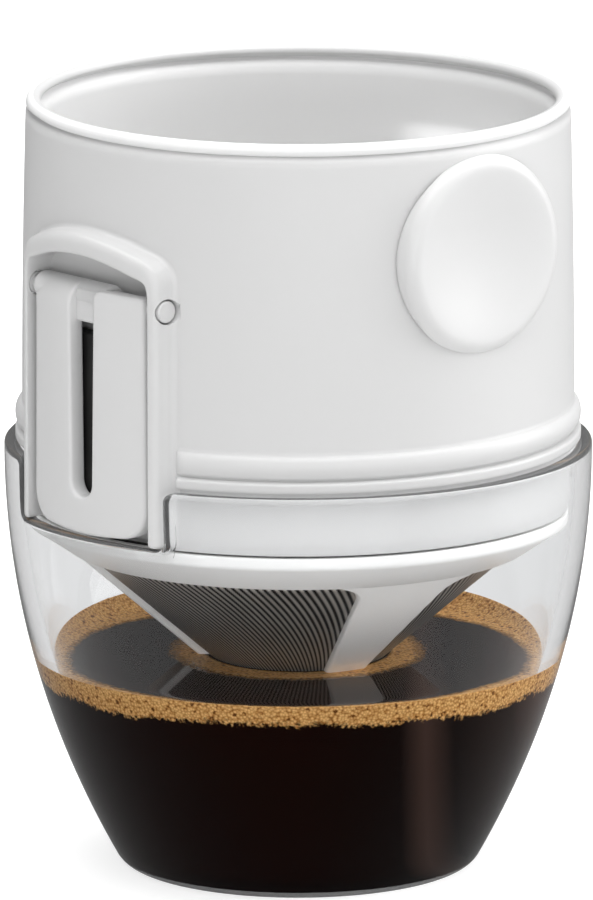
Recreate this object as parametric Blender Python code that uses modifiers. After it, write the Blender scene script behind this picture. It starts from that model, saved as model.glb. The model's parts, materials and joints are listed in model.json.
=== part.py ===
"""A pour-over drip coffee maker: a white dripper with fold-out arms, standing in the rim of a clear cup.

World frame: metres, +Z up, the origin at the centre of the cup's base. The fold-out arms are on -X and +X,
and the round finger grips on -Y and +Y. Every size below is in millimetres and is scaled by MM where used.
"""

import math

import bmesh
import bpy
from mathutils import Matrix

MM = 0.001
GAP = 0.3  # clearance between neighbouring pieces
CUT_IN = 30.0  # cutters reach from here, inside every wall that they open
CUT_OUT = 50.0  # to here, outside the whole object
CUT_HIGH = 120.0
CUT_LOW = 40.0
MERGE = 0.00001

# Clear server cup
CUP_RIM_Z = 63.7
CUP_RIM_R = 43.25
CUP_WALL = 2.3
CUP_FOOT_R = 26.9
CUP_FOOT_Z = 1.5
CUP_FOOT_ROUND = 3.0  # radius of the corner under the side
CUP_FLOOR_Z = 3.0
CUP_BULGE = (43.1, 30.5)  # pull point of the curved side, as radius and height
NOTCH_HALF = 15.75
NOTCH_Z = 54.9
NOTCH_ROUND = 1.4

# Dripper body
BODY_TOP_Z = 115.1
BODY_TOP_R = 39.85
BODY_MID_R = 40.45  # the side is fullest below its middle
BODY_MID_Z = 88.0
BODY_LOW_R = 40.6
BODY_WALL = 2.2
BEAD_Z = 67.9
BEAD_HALF = 1.7
BEAD_R = 41.6
FLANGE_TOP_Z = 65.8
SKIRT_R = 39.9
SKIRT_Z = 54.8
LEDGE_R = 34.0
LEDGE_H = 2.0
BOSS_N = 34.2  # flat inner face behind each arm, measured from the axis
BOSS_HALF = 25.0  # wider than the flat face, so the drum trims it
BOSS_TOP_Z = 102.0
POCKET_N = 36.2

# Arm housings
HOUSING_R = 43.2
HOUSING_HALF = 14.95
HOUSING_FLARE = 1.033  # widening towards the body
HOUSING_TOP_Z = 99.8
HOUSING_LOW_Z = 55.2
HOUSING_WALL = 1.6
ARCH_WALL = 2.9
ARCH_RISE = 3.0

# Fold-out arms, their pins and grip pads
PIN_N = 38.6
PIN_Z = 90.1
PIN_R = 1.2
PIN_HEAD_R = 1.6
ARM_R = 42.2
ARM_THICK = 2.8
ARM_TOP_Z = 91.7
ARM_LOW_Z = 55.3
ARM_TOP_HALF = 11.9
ARM_LOW_HALF = 12.3
SLOT_TOP_HALF = 2.65
SLOT_LOW_HALF = 2.2
SLOT_LOW_Z = 60.8
BARREL_R = 2.1
LUG_R = 2.0
WEB_HALF = 3.4  # joins the prongs behind the slot, under the barrel
WEB_IN_N = 36.7
WEB_OUT_N = 40.3
WEB_LOW_Z = 86.4
PAD_N = 36.8
PAD_HALF = 9.5
PAD_LOW_Z = 60.5
PAD_TOP_Z = 84.5
PAD_ROUND = 2.0

# Finger grips
GRIP_Z = 97.2
GRIP_R = 14.6
GRIP_CREST_N = 41.3
GRIP_CREST_R = 13.0
GRIP_DISH = 1.6
GRIP_SEAT_R = 39.1  # cylinder that the grip's back follows

# Filter
CONE_TOP_Z = 48.6
CONE_TOP_R = 34.4
CONE_SLOPE = 1.132  # change of radius for each unit of height
CONE_WALL = 1.5
CONE_LOW_R = 8.0
FOOT_H = 1.9
COLLAR_LOW_Z = 52.8
UPSTAND_R = 33.7
UPSTAND_TOP_Z = 61.4
UPSTAND_WALL = 1.5
LUG_LOW_Z = 57.2
LUG_H = 1.6
LUG_OUT_R = 36.2
LUG_HALF_DEG = 7.0
LOCKED_DEG = 75.0
TWIST_DEG = 30.0
RIB_DEG = 257.2  # bearing of the first rib from +X
RIBS = 3
WINDOW_TOP_HALF = 24.3
WINDOW_LOW_HALF = 7.0
WINDOW_LOW_Z = 27.5
WINDOW_ROUND = 4.0
SEAL_IN_R = 37.2
SEAL_OUT_R = 38.4
SEAL_H = 0.8
STEEL_THICK = 0.4

ROUND_STEPS = 60
GRIP_STEPS = 40
SMALL_STEPS = 20


def clear_scene():
    for old in list(bpy.data.objects):
        bpy.data.objects.remove(old, do_unlink=True)


def collection(name):
    group = bpy.data.collections.new(name)
    bpy.context.scene.collection.children.link(group)
    return group


clear_scene()
PARTS = collection("drip_coffee_maker")
CUTTERS = collection("cutters")


def material(name, colour, roughness, metallic=0.0, transmission=0.0):
    made = bpy.data.materials.new(name)
    made.use_nodes = True
    shader = made.node_tree.nodes["Principled BSDF"]
    shader.inputs["Base Color"].default_value = (*colour, 1.0)
    shader.inputs["Roughness"].default_value = roughness
    shader.inputs["Metallic"].default_value = metallic
    shader.inputs["Transmission Weight"].default_value = transmission
    return made


WHITE = (0.86, 0.86, 0.86)
BLACK = (0.02, 0.02, 0.02)
STEEL = (0.45, 0.44, 0.42)


def add_object(name, mesh, group):
    made = bpy.data.objects.new(name, mesh)
    group.objects.link(made)
    return made


def as_part(made, look):
    """Finishes a piece: its own material and smooth shading with crisp edges."""
    made.data.materials.append(look)
    for face in made.data.polygons:
        face.use_smooth = True
    made.data.set_sharp_from_angle(angle=math.radians(30))
    return made


def as_tool(made):
    """Marks an object that only cuts or joins another."""
    made.hide_render = True
    made.display_type = "WIRE"
    for group in list(made.users_collection):
        group.objects.unlink(made)
    CUTTERS.objects.link(made)
    return made


def combine(target, tool, operation):
    """Adds a Boolean of the tool to the target."""
    step = target.modifiers.new(operation.title(), "BOOLEAN")
    step.operation = operation
    step.object = as_tool(tool)


def turned(name, outline, closed=True, steps=ROUND_STEPS, group=None):
    """Turns an outline of (radius, height) points around Z. The outline runs down its outer side."""
    points = [(r * MM, 0.0, z * MM) for r, z in outline]
    edges = [(i, i + 1) for i in range(len(points) - 1)]
    if closed:
        edges.append((len(points) - 1, 0))
    mesh = bpy.data.meshes.new(name)
    mesh.from_pydata(points, edges, [])
    made = add_object(name, mesh, group or PARTS)
    screw = made.modifiers.new("Turn", "SCREW")
    screw.steps = steps
    screw.render_steps = steps
    screw.use_merge_vertices = True
    screw.merge_threshold = MERGE
    return made


def arc(centre, radius, start, end, steps=5):
    """Points on an arc, with its angles in degrees."""
    angles = [math.radians(start + (end - start) * i / steps) for i in range(steps + 1)]
    return [(centre[0] + radius * math.cos(a), centre[1] + radius * math.sin(a)) for a in angles]


def bezier(start, pull, end, steps):
    """Points on a quadratic curve from start to end, drawn towards the pull point."""
    points = []
    for i in range(steps + 1):
        t = i / steps
        weights = ((1 - t) ** 2, 2 * t * (1 - t), t * t)
        points.append(tuple(sum(w * p[k] for w, p in zip(weights, (start, pull, end))) for k in (0, 1)))
    return points


def rounded(corners, steps=5):
    """Rounds an outline's corners, each given as (x, y, radius), with quadratic curves."""
    points = []
    for i, (x, y, radius) in enumerate(corners):
        if radius == 0:
            points.append((x, y))
            continue
        ends = []
        for neighbour in (corners[i - 1], corners[(i + 1) % len(corners)]):
            reach = math.hypot(neighbour[0] - x, neighbour[1] - y)
            share = radius / reach
            ends.append((x + (neighbour[0] - x) * share, y + (neighbour[1] - y) * share))
        points += bezier(ends[0], (x, y), ends[1], steps)
    return points


def slab(name, outline, near, far, bearing, group=None):
    """Extrudes an outline of (sideways, height) points from near to far along a bearing from +X."""
    curve = bpy.data.curves.new(name, "CURVE")
    curve.dimensions = "2D"
    curve.fill_mode = "BOTH"
    curve.extrude = (far - near) / 2 * MM
    line = curve.splines.new("POLY")
    line.points.add(len(outline) - 1)
    for point, (across, height) in zip(line.points, outline):
        point.co = (across * MM, height * MM, 0.0, 1.0)
    line.use_cyclic_u = True
    guide = add_object(name + "_curve", curve, CUTTERS)
    mesh = bpy.data.meshes.new_from_object(guide.evaluated_get(bpy.context.evaluated_depsgraph_get()))
    bpy.data.objects.remove(guide, do_unlink=True)
    upright = Matrix(((0, 0, 1, (near + far) / 2 * MM), (1, 0, 0, 0), (0, 1, 0, 0), (0, 0, 0, 1)))
    mesh.transform(Matrix.Rotation(math.radians(bearing), 4, "Z") @ upright)
    shape = bmesh.new()
    shape.from_mesh(mesh)
    bmesh.ops.remove_doubles(shape, verts=shape.verts, dist=MERGE)
    bmesh.ops.recalc_face_normals(shape, faces=shape.faces)
    shape.to_mesh(mesh)
    shape.free()
    return add_object(name, mesh, group or PARTS)


def rod(name, radius, start, end, centre, bearing, steps=SMALL_STEPS, group=None):
    """A cylinder lying across a bearing, from start to end sideways, centred at (outwards, height)."""
    shape = bmesh.new()
    bmesh.ops.create_cone(
        shape,
        cap_ends=True,
        segments=steps,
        radius1=radius * MM,
        radius2=radius * MM,
        depth=(end - start) * MM,
    )
    mesh = bpy.data.meshes.new(name)
    shape.to_mesh(mesh)
    shape.free()
    lying = Matrix.Rotation(math.radians(-90), 4, "X")
    place = Matrix.Translation((centre[0] * MM, (start + end) / 2 * MM, centre[1] * MM))
    mesh.transform(Matrix.Rotation(math.radians(bearing), 4, "Z") @ place @ lying)
    return add_object(name, mesh, group or PARTS)


def drum(name, radius, low, high, steps=ROUND_STEPS):
    """An upright cylinder on the object's axis."""
    shape = bmesh.new()
    bmesh.ops.create_cone(
        shape,
        cap_ends=True,
        segments=steps,
        radius1=radius * MM,
        radius2=radius * MM,
        depth=(high - low) * MM,
        matrix=Matrix.Translation((0, 0, (low + high) / 2 * MM)),
    )
    mesh = bpy.data.meshes.new(name)
    shape.to_mesh(mesh)
    shape.free()
    return add_object(name, mesh, CUTTERS)


def server_cup():
    """Clear cup with a curved side, a thick floor and a notch in the rim for each arm housing."""
    lip = CUP_WALL / 2
    outside = bezier((CUP_RIM_R, CUP_RIM_Z - lip), CUP_BULGE, (CUP_FOOT_R, CUP_FOOT_Z), 10)
    # The foot's arc starts square to the side, so that the side runs into it without a kink.
    lean = math.degrees(math.atan2(CUP_FOOT_R - CUP_BULGE[0], CUP_BULGE[1] - CUP_FOOT_Z))
    foot_r = CUP_FOOT_R - CUP_FOOT_ROUND * math.cos(math.radians(lean))
    foot = arc((foot_r, CUP_FOOT_ROUND), CUP_FOOT_ROUND, lean, -90, 4)[1:]
    floor_end = (CUP_FOOT_R - CUP_WALL - 1.2, CUP_FLOOR_Z)
    inside_start = (CUP_FOOT_R - CUP_WALL, CUP_FLOOR_Z + 1.4)
    inside_pull = (CUP_BULGE[0] - CUP_WALL, CUP_BULGE[1] + 1.0)
    inside = bezier(inside_start, inside_pull, (CUP_RIM_R - CUP_WALL, CUP_RIM_Z - lip), 9)
    rim = arc((CUP_RIM_R - lip, CUP_RIM_Z - lip), lip, 180, 0, 4)[1:-1]
    # The outline starts at the floor's centre, climbs the inside, and comes down the outside.
    outline = [(0.0, CUP_FLOOR_Z), floor_end] + inside + rim + outside + foot + [(0.0, 0.0)]
    made = turned("server_cup", outline, closed=False)
    for name, bearing in SIDES:
        top = CUP_RIM_Z + 2.0
        flare = NOTCH_HALF + NOTCH_ROUND
        right = arc((flare, CUP_RIM_Z - NOTCH_ROUND), NOTCH_ROUND, 90, 180, 4)
        left = [(-x, z) for x, z in reversed(right)]
        low = arc((-NOTCH_HALF + NOTCH_ROUND, NOTCH_Z + NOTCH_ROUND), NOTCH_ROUND, 180, 270, 4)
        low += [(-x, z) for x, z in reversed(low)]
        outline = [(flare, top)] + right + low[::-1] + left + [(-flare, top)]
        notch = slab("notch_" + name, outline, CUT_IN, CUT_OUT, bearing)
        combine(made, notch, "DIFFERENCE")
    return as_part(made, material("clear_plastic", (0.95, 0.95, 0.95), 0.05, transmission=1.0))


def arch(half, top, rise, low, corner, foot=0.0):
    """Outline with a bowed top, rounded shoulders and a straight foot."""
    bow = (half * half + rise * rise) / (2 * rise)
    shoulder = half - corner
    edge = [(half, low, foot)]
    edge.append((half, top - rise, corner))
    count = 8
    for i in range(count + 1):
        x = shoulder - 2 * shoulder * i / count
        edge.append((x, top - bow + math.sqrt(bow * bow - x * x), 0))
    edge.append((-half, top - rise, corner))
    edge.append((-half, low, foot))
    return rounded(edge)


def boss(name, bearing):
    """Thickens the body's wall inwards to a flat face, behind an arm."""
    half = BOSS_HALF
    low = SKIRT_Z + 1
    outline = [(-half, low), (half, low), (half, BOSS_TOP_Z), (-half, BOSS_TOP_Z)]
    made = slab(name, outline, BOSS_N, CUT_OUT, bearing)
    combine(made, drum(name + "_drum", BODY_TOP_R - 1.0, SKIRT_Z - 2, BOSS_TOP_Z + 2), "INTERSECT")
    return made


def grip_pocket(name, bearing):
    """Shallow round pocket whose floor follows the body's side."""
    outline = [(0, CUT_OUT), (GRIP_R + GAP, CUT_OUT), (GRIP_R + GAP, CUT_IN), (0, CUT_IN)]
    made = turned(name, outline, closed=False, steps=GRIP_STEPS)
    lay_outwards(made, bearing, GRIP_Z)
    combine(made, drum(name + "_drum", GRIP_SEAT_R - GAP, 60, 130), "DIFFERENCE")
    return made


def lay_outwards(made, bearing, height):
    """Turns a piece so that its own Z points outwards along a bearing, at a height."""
    turn = Matrix.Rotation(math.radians(bearing), 4, "Z") @ Matrix.Rotation(math.radians(90), 4, "Y")
    made.matrix_world = Matrix.Translation((0, 0, height * MM)) @ turn


def dripper_body():
    """Open tube with a rounded lip, a bead and a flange that rests on the cup, and a skirt in the cup."""
    lip = BODY_WALL / 2
    lip_z = BODY_TOP_Z - lip
    inner_r = BODY_TOP_R - BODY_WALL
    outline = arc((BODY_TOP_R - lip, lip_z), lip, 180, 0, 4)
    outline.append((BODY_MID_R, BODY_MID_Z))
    outline.append((BODY_LOW_R, BEAD_Z + BEAD_HALF + 0.3))
    swell = BEAD_R - BODY_LOW_R
    for i in range(7):
        a = math.radians(90 - 30 * i)
        outline.append((BODY_LOW_R + swell * math.cos(a), BEAD_Z + BEAD_HALF * math.sin(a)))
    outline.append((BODY_LOW_R, FLANGE_TOP_Z + 0.3))
    outline.append((BEAD_R - 0.2, FLANGE_TOP_Z))
    outline.append((BEAD_R, FLANGE_TOP_Z - 0.3))
    outline.append((BEAD_R, CUP_RIM_Z + GAP + 0.3))
    outline.append((BEAD_R - 0.3, CUP_RIM_Z + GAP))
    outline.append((SKIRT_R, CUP_RIM_Z + GAP))
    outline.append((SKIRT_R, SKIRT_Z))
    outline.append((LEDGE_R, SKIRT_Z))
    outline.append((LEDGE_R, SKIRT_Z + LEDGE_H))
    outline.append((inner_r, SKIRT_Z + LEDGE_H))
    made = turned("dripper_body", outline)
    for name, bearing in SIDES:
        combine(made, boss("boss_" + name, bearing), "UNION")
        pocket = arch(HOUSING_HALF * HOUSING_FLARE + GAP, HOUSING_TOP_Z + GAP, ARCH_RISE, SKIRT_Z - 5, 4.0)
        combine(made, slab("pocket_" + name, pocket, POCKET_N, CUT_OUT, bearing), "DIFFERENCE")
    for name, bearing in GRIPS:
        combine(made, grip_pocket("grip_pocket_" + name, bearing), "DIFFERENCE")
    # A lug passes up through each slot in the ledge, and the filter then turns back to lock.
    slot_half = LUG_OUT_R * math.sin(math.radians(LUG_HALF_DEG)) + 0.8
    for i in range(2):
        bearing = LOCKED_DEG + TWIST_DEG + 180 * i
        low = SKIRT_Z - 2
        high = LUG_LOW_Z + 0.8
        box = [(-slot_half, low), (slot_half, low), (slot_half, high), (-slot_half, high)]
        combine(made, slab(f"lug_slot_{i}", box, CUT_IN, LUG_OUT_R + 0.6, bearing), "DIFFERENCE")
    return as_part(made, material("body_white", WHITE, 0.32))


def housing(name, bearing):
    """Arched frame, open at the bottom, that holds an arm's pin between its two rails."""
    made = slab("housing_" + name, arch(HOUSING_HALF, HOUSING_TOP_Z, ARCH_RISE, HOUSING_LOW_Z, 4.0, 1.2),
                POCKET_N + GAP, 46, 0)
    for vert in made.data.vertices:
        if vert.co.x < HOUSING_R * MM * 0.9:
            vert.co.y *= HOUSING_FLARE
    made.data.transform(Matrix.Rotation(math.radians(bearing), 4, "Z"))
    inner_top = HOUSING_TOP_Z - ARCH_WALL
    opening = arch(HOUSING_HALF - HOUSING_WALL, inner_top, ARCH_RISE * 0.8, HOUSING_LOW_Z - 5, 2.5)
    combine(made, drum("housing_drum_" + name, HOUSING_R, CUT_LOW, CUT_HIGH, steps=144), "INTERSECT")
    combine(made, slab("opening_" + name, opening, CUT_IN, CUT_OUT, bearing), "DIFFERENCE")
    reach = HOUSING_HALF + 3
    hole = rod("pin_hole_" + name, PIN_HEAD_R + GAP, -reach, reach, (PIN_N, PIN_Z), bearing)
    combine(made, hole, "DIFFERENCE")
    return as_part(made, material("housing_white_" + name, WHITE, 0.3))


def arm(name, bearing):
    """Curved arm with a slot open at its top, and with a barrel and a lug around the pin."""
    middle = (ARM_TOP_Z + SLOT_LOW_Z) / 2
    corners = [
        (ARM_LOW_HALF - 0.2, ARM_LOW_Z + 0.8, 4.5),
        (ARM_LOW_HALF, middle, 0),
        (ARM_TOP_HALF, ARM_TOP_Z, 1.0),
        (SLOT_TOP_HALF, ARM_TOP_Z, 1.0),
        (SLOT_LOW_HALF, SLOT_LOW_Z + SLOT_LOW_HALF, 0),
    ]
    right = corners
    left = [(-x, z, radius) for x, z, radius in reversed(corners)]
    slot_end = [(x, z, 0) for x, z in arc((0, SLOT_LOW_Z + SLOT_LOW_HALF), SLOT_LOW_HALF, 0, -180, 8)[1:-1]]
    outline = rounded(right + slot_end + left + [(0, ARM_LOW_Z, 0)])
    made = slab("arm_" + name, outline, CUT_IN, CUT_OUT, bearing)
    inner_r = ARM_R - ARM_THICK
    tube = [(ARM_R, CUT_HIGH), (ARM_R, CUT_LOW), (inner_r, CUT_LOW), (inner_r, CUT_HIGH)]
    combine(made, turned("arm_shell_" + name, tube, steps=144), "INTERSECT")
    axis = (PIN_N, PIN_Z)
    barrel = rod("barrel_" + name, BARREL_R, -ARM_TOP_HALF - 0.5, SLOT_TOP_HALF + 1, axis, bearing)
    combine(made, barrel, "UNION")
    lug = rod("lug_" + name, LUG_R, SLOT_TOP_HALF + 0.5, ARM_TOP_HALF - 0.3, axis, bearing)
    combine(made, lug, "UNION")
    web = [(-WEB_HALF, WEB_LOW_Z), (WEB_HALF, WEB_LOW_Z), (WEB_HALF, PIN_Z), (-WEB_HALF, PIN_Z)]
    combine(made, slab("web_" + name, web, WEB_IN_N, WEB_OUT_N, bearing), "UNION")
    combine(made, rod("bore_" + name, PIN_R + GAP, -20, 20, axis, bearing), "DIFFERENCE")
    origin_on_pin(made, bearing)
    return as_part(made, material("arm_white_" + name, WHITE, 0.3))


def origin_on_pin(made, bearing):
    """Moves a piece's origin to its pin's axis, leaving the shape where it is."""
    out = math.radians(bearing)
    origin = (PIN_N * MM * math.cos(out), PIN_N * MM * math.sin(out), PIN_Z * MM)
    made.data.transform(Matrix.Translation(origin).inverted())
    made.location = origin


def arm_pad(name, bearing):
    """Silicone pad on the arm's inner face, flat on the side that grips a mug's rim."""
    outline = rounded([
        (-PAD_HALF, PAD_LOW_Z, PAD_ROUND),
        (PAD_HALF, PAD_LOW_Z, PAD_ROUND),
        (PAD_HALF, PAD_TOP_Z, PAD_ROUND),
        (-PAD_HALF, PAD_TOP_Z, PAD_ROUND),
    ])
    made = slab("arm_pad_" + name, outline, PAD_N, CUT_OUT, bearing)
    outside = drum("pad_drum_" + name, ARM_R - ARM_THICK - GAP, CUT_LOW, CUT_HIGH, steps=144)
    combine(made, outside, "INTERSECT")
    origin_on_pin(made, bearing)
    return as_part(made, material("silicone_" + name, BLACK, 0.6))


def arm_pin(name, bearing):
    """Stepped pin: a slim shaft through the arm with a wider head in each rail."""
    head_in = HOUSING_HALF - HOUSING_WALL + 0.3
    head_out = HOUSING_HALF - 0.3
    made = turned(
        "arm_pin_" + name,
        [(0, head_out), (PIN_HEAD_R - 0.2, head_out), (PIN_HEAD_R, head_out - 0.2), (PIN_HEAD_R, head_in),
         (PIN_R, head_in), (PIN_R, -head_in), (PIN_HEAD_R, -head_in), (PIN_HEAD_R, -head_out + 0.2),
         (PIN_HEAD_R - 0.2, -head_out), (0, -head_out)],
        closed=False,
        steps=SMALL_STEPS,
    )
    out = math.radians(bearing)
    place = Matrix.Translation((PIN_N * MM * math.cos(out), PIN_N * MM * math.sin(out), PIN_Z * MM))
    made.matrix_world = place @ Matrix.Rotation(out, 4, "Z") @ Matrix.Rotation(math.radians(90), 4, "X")
    return as_part(made, material("pin_white_" + name, WHITE, 0.3))


def grip_disc(name, bearing):
    """Round finger grip with a raised rim, a shallow dish and a back that follows the body's side."""
    outline = [(0, GRIP_CREST_N - GRIP_DISH)]
    count = 6
    for i in range(1, count):
        r = GRIP_CREST_R * i / count
        outline.append((r, GRIP_CREST_N - GRIP_DISH * (1 - (r / GRIP_CREST_R) ** 2) ** 1.5))
    outline += arc((GRIP_CREST_R, GRIP_CREST_N - 1.7), 1.7, 90, 0, 4)
    outline += [(GRIP_R, 25), (0, 25)]
    made = turned("grip_disc_" + name, outline, closed=False, steps=GRIP_STEPS)
    lay_outwards(made, bearing, GRIP_Z)
    combine(made, drum("grip_seat_" + name, GRIP_SEAT_R, 60, 130), "DIFFERENCE")
    return as_part(made, material("grip_white_" + name, WHITE, 0.3))


def cone_radius(height, inset=0.0):
    """Radius of the filter's cone at a height, moved inwards by an inset square to its surface."""
    across = inset * math.hypot(1.0, CONE_SLOPE)
    return CONE_TOP_R - CONE_SLOPE * (CONE_TOP_Z - height) - across


def cone_height(radius, inset=0.0):
    """Height at which the cone, moved inwards by an inset, has this radius."""
    return CONE_TOP_Z - (cone_radius(CONE_TOP_Z, inset) - radius) / CONE_SLOPE


def filter_frame():
    """White cone frame with three windows between ribs, and an upstand with two locking lugs."""
    foot_z = cone_height(CONE_LOW_R)
    floor_z = foot_z - FOOT_H + 0.9
    seat_r = CONE_LOW_R - 2.0
    upstand_in = UPSTAND_R - UPSTAND_WALL
    top = SKIRT_Z - GAP
    outline = [
        (UPSTAND_R, UPSTAND_TOP_Z),
        (UPSTAND_R, top),
        (SEAL_IN_R - GAP, top),
        (SEAL_IN_R - GAP, top - SEAL_H - GAP),
        (SEAL_OUT_R + GAP, top - SEAL_H - GAP),
        (SEAL_OUT_R + GAP, top),
        (SKIRT_R, top),
        (SKIRT_R, COLLAR_LOW_Z),
        (CONE_TOP_R, CONE_TOP_Z),
        (CONE_LOW_R, foot_z),
        (CONE_LOW_R, foot_z - FOOT_H),
        (seat_r - 2.0, foot_z - FOOT_H),
        (seat_r - 2.0, floor_z),
        (seat_r, floor_z),
        (seat_r, cone_height(seat_r, CONE_WALL)),
        (upstand_in, cone_height(upstand_in, CONE_WALL)),
        (upstand_in, UPSTAND_TOP_Z),
    ]
    made = turned("filter_frame", outline)
    window = rounded([
        (WINDOW_LOW_HALF, WINDOW_LOW_Z, 2.0),
        (WINDOW_TOP_HALF, CONE_TOP_Z, WINDOW_ROUND),
        (-WINDOW_TOP_HALF, CONE_TOP_Z, WINDOW_ROUND),
        (-WINDOW_LOW_HALF, WINDOW_LOW_Z, 2.0),
    ])
    for i in range(RIBS):
        bearing = RIB_DEG + (i + 0.5) * 360 / RIBS
        combine(made, slab(f"window_{i}", window, 3, 45, bearing), "DIFFERENCE")
    for i in range(2):
        combine(made, locking_lug(f"locking_lug_{i}", LOCKED_DEG + 180 * i), "UNION")
    return as_part(made, material("frame_white", WHITE, 0.35))


def locking_lug(name, bearing):
    half = LUG_OUT_R * math.sin(math.radians(LUG_HALF_DEG))
    high = LUG_LOW_Z + LUG_H
    outline = [(-half, LUG_LOW_Z), (half, LUG_LOW_Z), (half, high), (-half, high)]
    return slab(name, outline, UPSTAND_R - UPSTAND_WALL / 2, LUG_OUT_R, bearing)


def mesh_cone():
    """Steel mesh cone inside the frame, with an upright hem at its top."""
    hem_r = UPSTAND_R - UPSTAND_WALL - GAP
    outer = CONE_WALL + GAP
    inner = outer + STEEL_THICK
    low_z = cone_height(CONE_LOW_R - 2.0, CONE_WALL) + GAP
    bend_z = cone_height(hem_r, outer)
    outline = [
        (hem_r, bend_z + 2.0),
        (hem_r, bend_z),
        (cone_radius(low_z, outer), low_z),
        (cone_radius(low_z, inner), low_z),
        (hem_r - STEEL_THICK, cone_height(hem_r - STEEL_THICK, inner)),
        (hem_r - STEEL_THICK, bend_z + 2.0),
    ]
    return as_part(turned("mesh_cone", outline), material("steel_cone", STEEL, 0.35, metallic=1.0))


def mesh_floor():
    """Steel mesh disc that closes the cone's tip, resting in the frame's foot."""
    radius = CONE_LOW_R - 2.0 - GAP
    low = cone_height(CONE_LOW_R) - FOOT_H + 0.9 + GAP
    outline = [(0, low + STEEL_THICK), (radius, low + STEEL_THICK), (radius, low), (0, low)]
    made = turned("mesh_floor", outline, closed=False, steps=GRIP_STEPS)
    return as_part(made, material("steel_floor", STEEL, 0.35, metallic=1.0))


def filter_seal():
    """Silicone ring between the filter's collar and the body's skirt."""
    high = SKIRT_Z - GAP
    low = high - SEAL_H
    outline = [(SEAL_OUT_R, high), (SEAL_OUT_R, low), (SEAL_IN_R, low), (SEAL_IN_R, high)]
    return as_part(turned("filter_seal", outline), material("silicone_seal", BLACK, 0.6))


SIDES = (("left", 180), ("right", 0))
GRIPS = (("front", 270), ("back", 90))

server_cup()
dripper_body()
for side, bearing in SIDES:
    housing(side, bearing)
    arm(side, bearing)
    arm_pad(side, bearing)
    arm_pin(side, bearing)
for side, bearing in GRIPS:
    grip_disc(side, bearing)
filter_frame()
mesh_cone()
mesh_floor()
filter_seal()
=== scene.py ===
# %% [markdown]
# # A pour-over drip coffee maker
#
# The coffee maker is two things stacked: a white plastic dripper, and the clear cup that it stands in.
# The dripper carries a cone of fine steel mesh, two arms that fold out to stand it on a mug, and two
# round grips for the fingers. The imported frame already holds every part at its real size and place.
# This lesson gives each part its finished surface: edges are rounded, moulded faces get their curves,
# and every finish gets its own procedural material.

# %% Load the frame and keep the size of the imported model
import json
import math

import bpy
import numpy as np
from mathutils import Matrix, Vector


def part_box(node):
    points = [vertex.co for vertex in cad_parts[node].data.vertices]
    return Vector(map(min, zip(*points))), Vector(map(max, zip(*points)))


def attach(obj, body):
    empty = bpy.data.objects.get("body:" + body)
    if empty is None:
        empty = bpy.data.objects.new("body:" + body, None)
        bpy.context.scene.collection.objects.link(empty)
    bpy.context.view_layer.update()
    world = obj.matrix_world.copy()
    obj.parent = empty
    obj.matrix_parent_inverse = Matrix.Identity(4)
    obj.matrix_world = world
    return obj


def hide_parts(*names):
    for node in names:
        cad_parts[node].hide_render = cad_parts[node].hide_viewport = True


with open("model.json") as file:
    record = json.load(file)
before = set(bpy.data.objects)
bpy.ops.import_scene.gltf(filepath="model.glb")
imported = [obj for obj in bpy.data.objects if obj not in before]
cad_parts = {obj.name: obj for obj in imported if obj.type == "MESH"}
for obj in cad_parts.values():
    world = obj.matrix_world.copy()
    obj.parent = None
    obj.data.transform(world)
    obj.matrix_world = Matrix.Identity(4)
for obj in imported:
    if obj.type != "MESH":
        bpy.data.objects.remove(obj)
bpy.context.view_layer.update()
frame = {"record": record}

# %% [markdown]
# ## Measuring the frame
#
# All shapes below are worked out in millimetres, because the walls and gaps are easier to read that way,
# and are scaled to metres when a mesh is made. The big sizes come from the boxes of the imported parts.
# The small ones, such as a wall's thickness or an edge's rounding, are moulding details, so they are
# named values of their own next to the piece that uses them.

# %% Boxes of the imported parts, in millimetres
MM = 0.001


def box(node):
    """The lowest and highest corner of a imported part, in millimetres."""
    low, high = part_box(node)
    return np.array(low) / MM, np.array(high) / MM


_, cup_high = box("server_cup")
body_low, body_high = box("dripper_body")
housing_low, housing_high = box("housing_right")
pad_low, pad_high = box("arm_pad_right")
grip_low, grip_high = box("grip_disc_front")
frame_low, frame_high = box("filter_frame")
cone_low, cone_high = box("mesh_cone")
floor_low, floor_high = box("mesh_floor")
seal_low, seal_high = box("filter_seal")
joints = {joint["name"]: joint for joint in frame["record"]["behaviour"]["joints"]}
pin_n, _, pin_z = (value / MM for value in joints["arm_right_fold"]["pos_m"])
print(f"cup {cup_high[2]:.1f} mm high, dripper to {body_high[2]:.1f} mm")
print(f"pin at {pin_n:.1f} out, {pin_z:.1f} up")

# %% [markdown]
# ## The camera
#
# A long lens far from the object keeps the two rims almost parallel, as in a catalogue picture. The
# camera sits a little above the object and looks down at its middle, so the open chamber shows.

# %% Camera
VIEW_AZIMUTH = -41.5
VIEW_ELEVATION = 12.35
VIEW_DISTANCE = 2.0
VIEW_LENS = 543.6
VIEW_HEIGHT = 0.0617
VIEW_SIDE = -0.00025


def direction(azimuth, elevation):
    """The unit vector from the object towards a place at this azimuth and elevation, in degrees."""
    a, e = math.radians(azimuth), math.radians(elevation)
    return np.array([math.sin(a) * math.cos(e), -math.cos(a) * math.cos(e), math.sin(e)])


def aim(thing, place, target):
    """Puts a lamp or camera at a place and turns its -Z axis to the target, with its top upwards."""
    thing.location = place
    thing.rotation_euler = (Vector(target) - Vector(place)).to_track_quat("-Z", "Y").to_euler()


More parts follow.
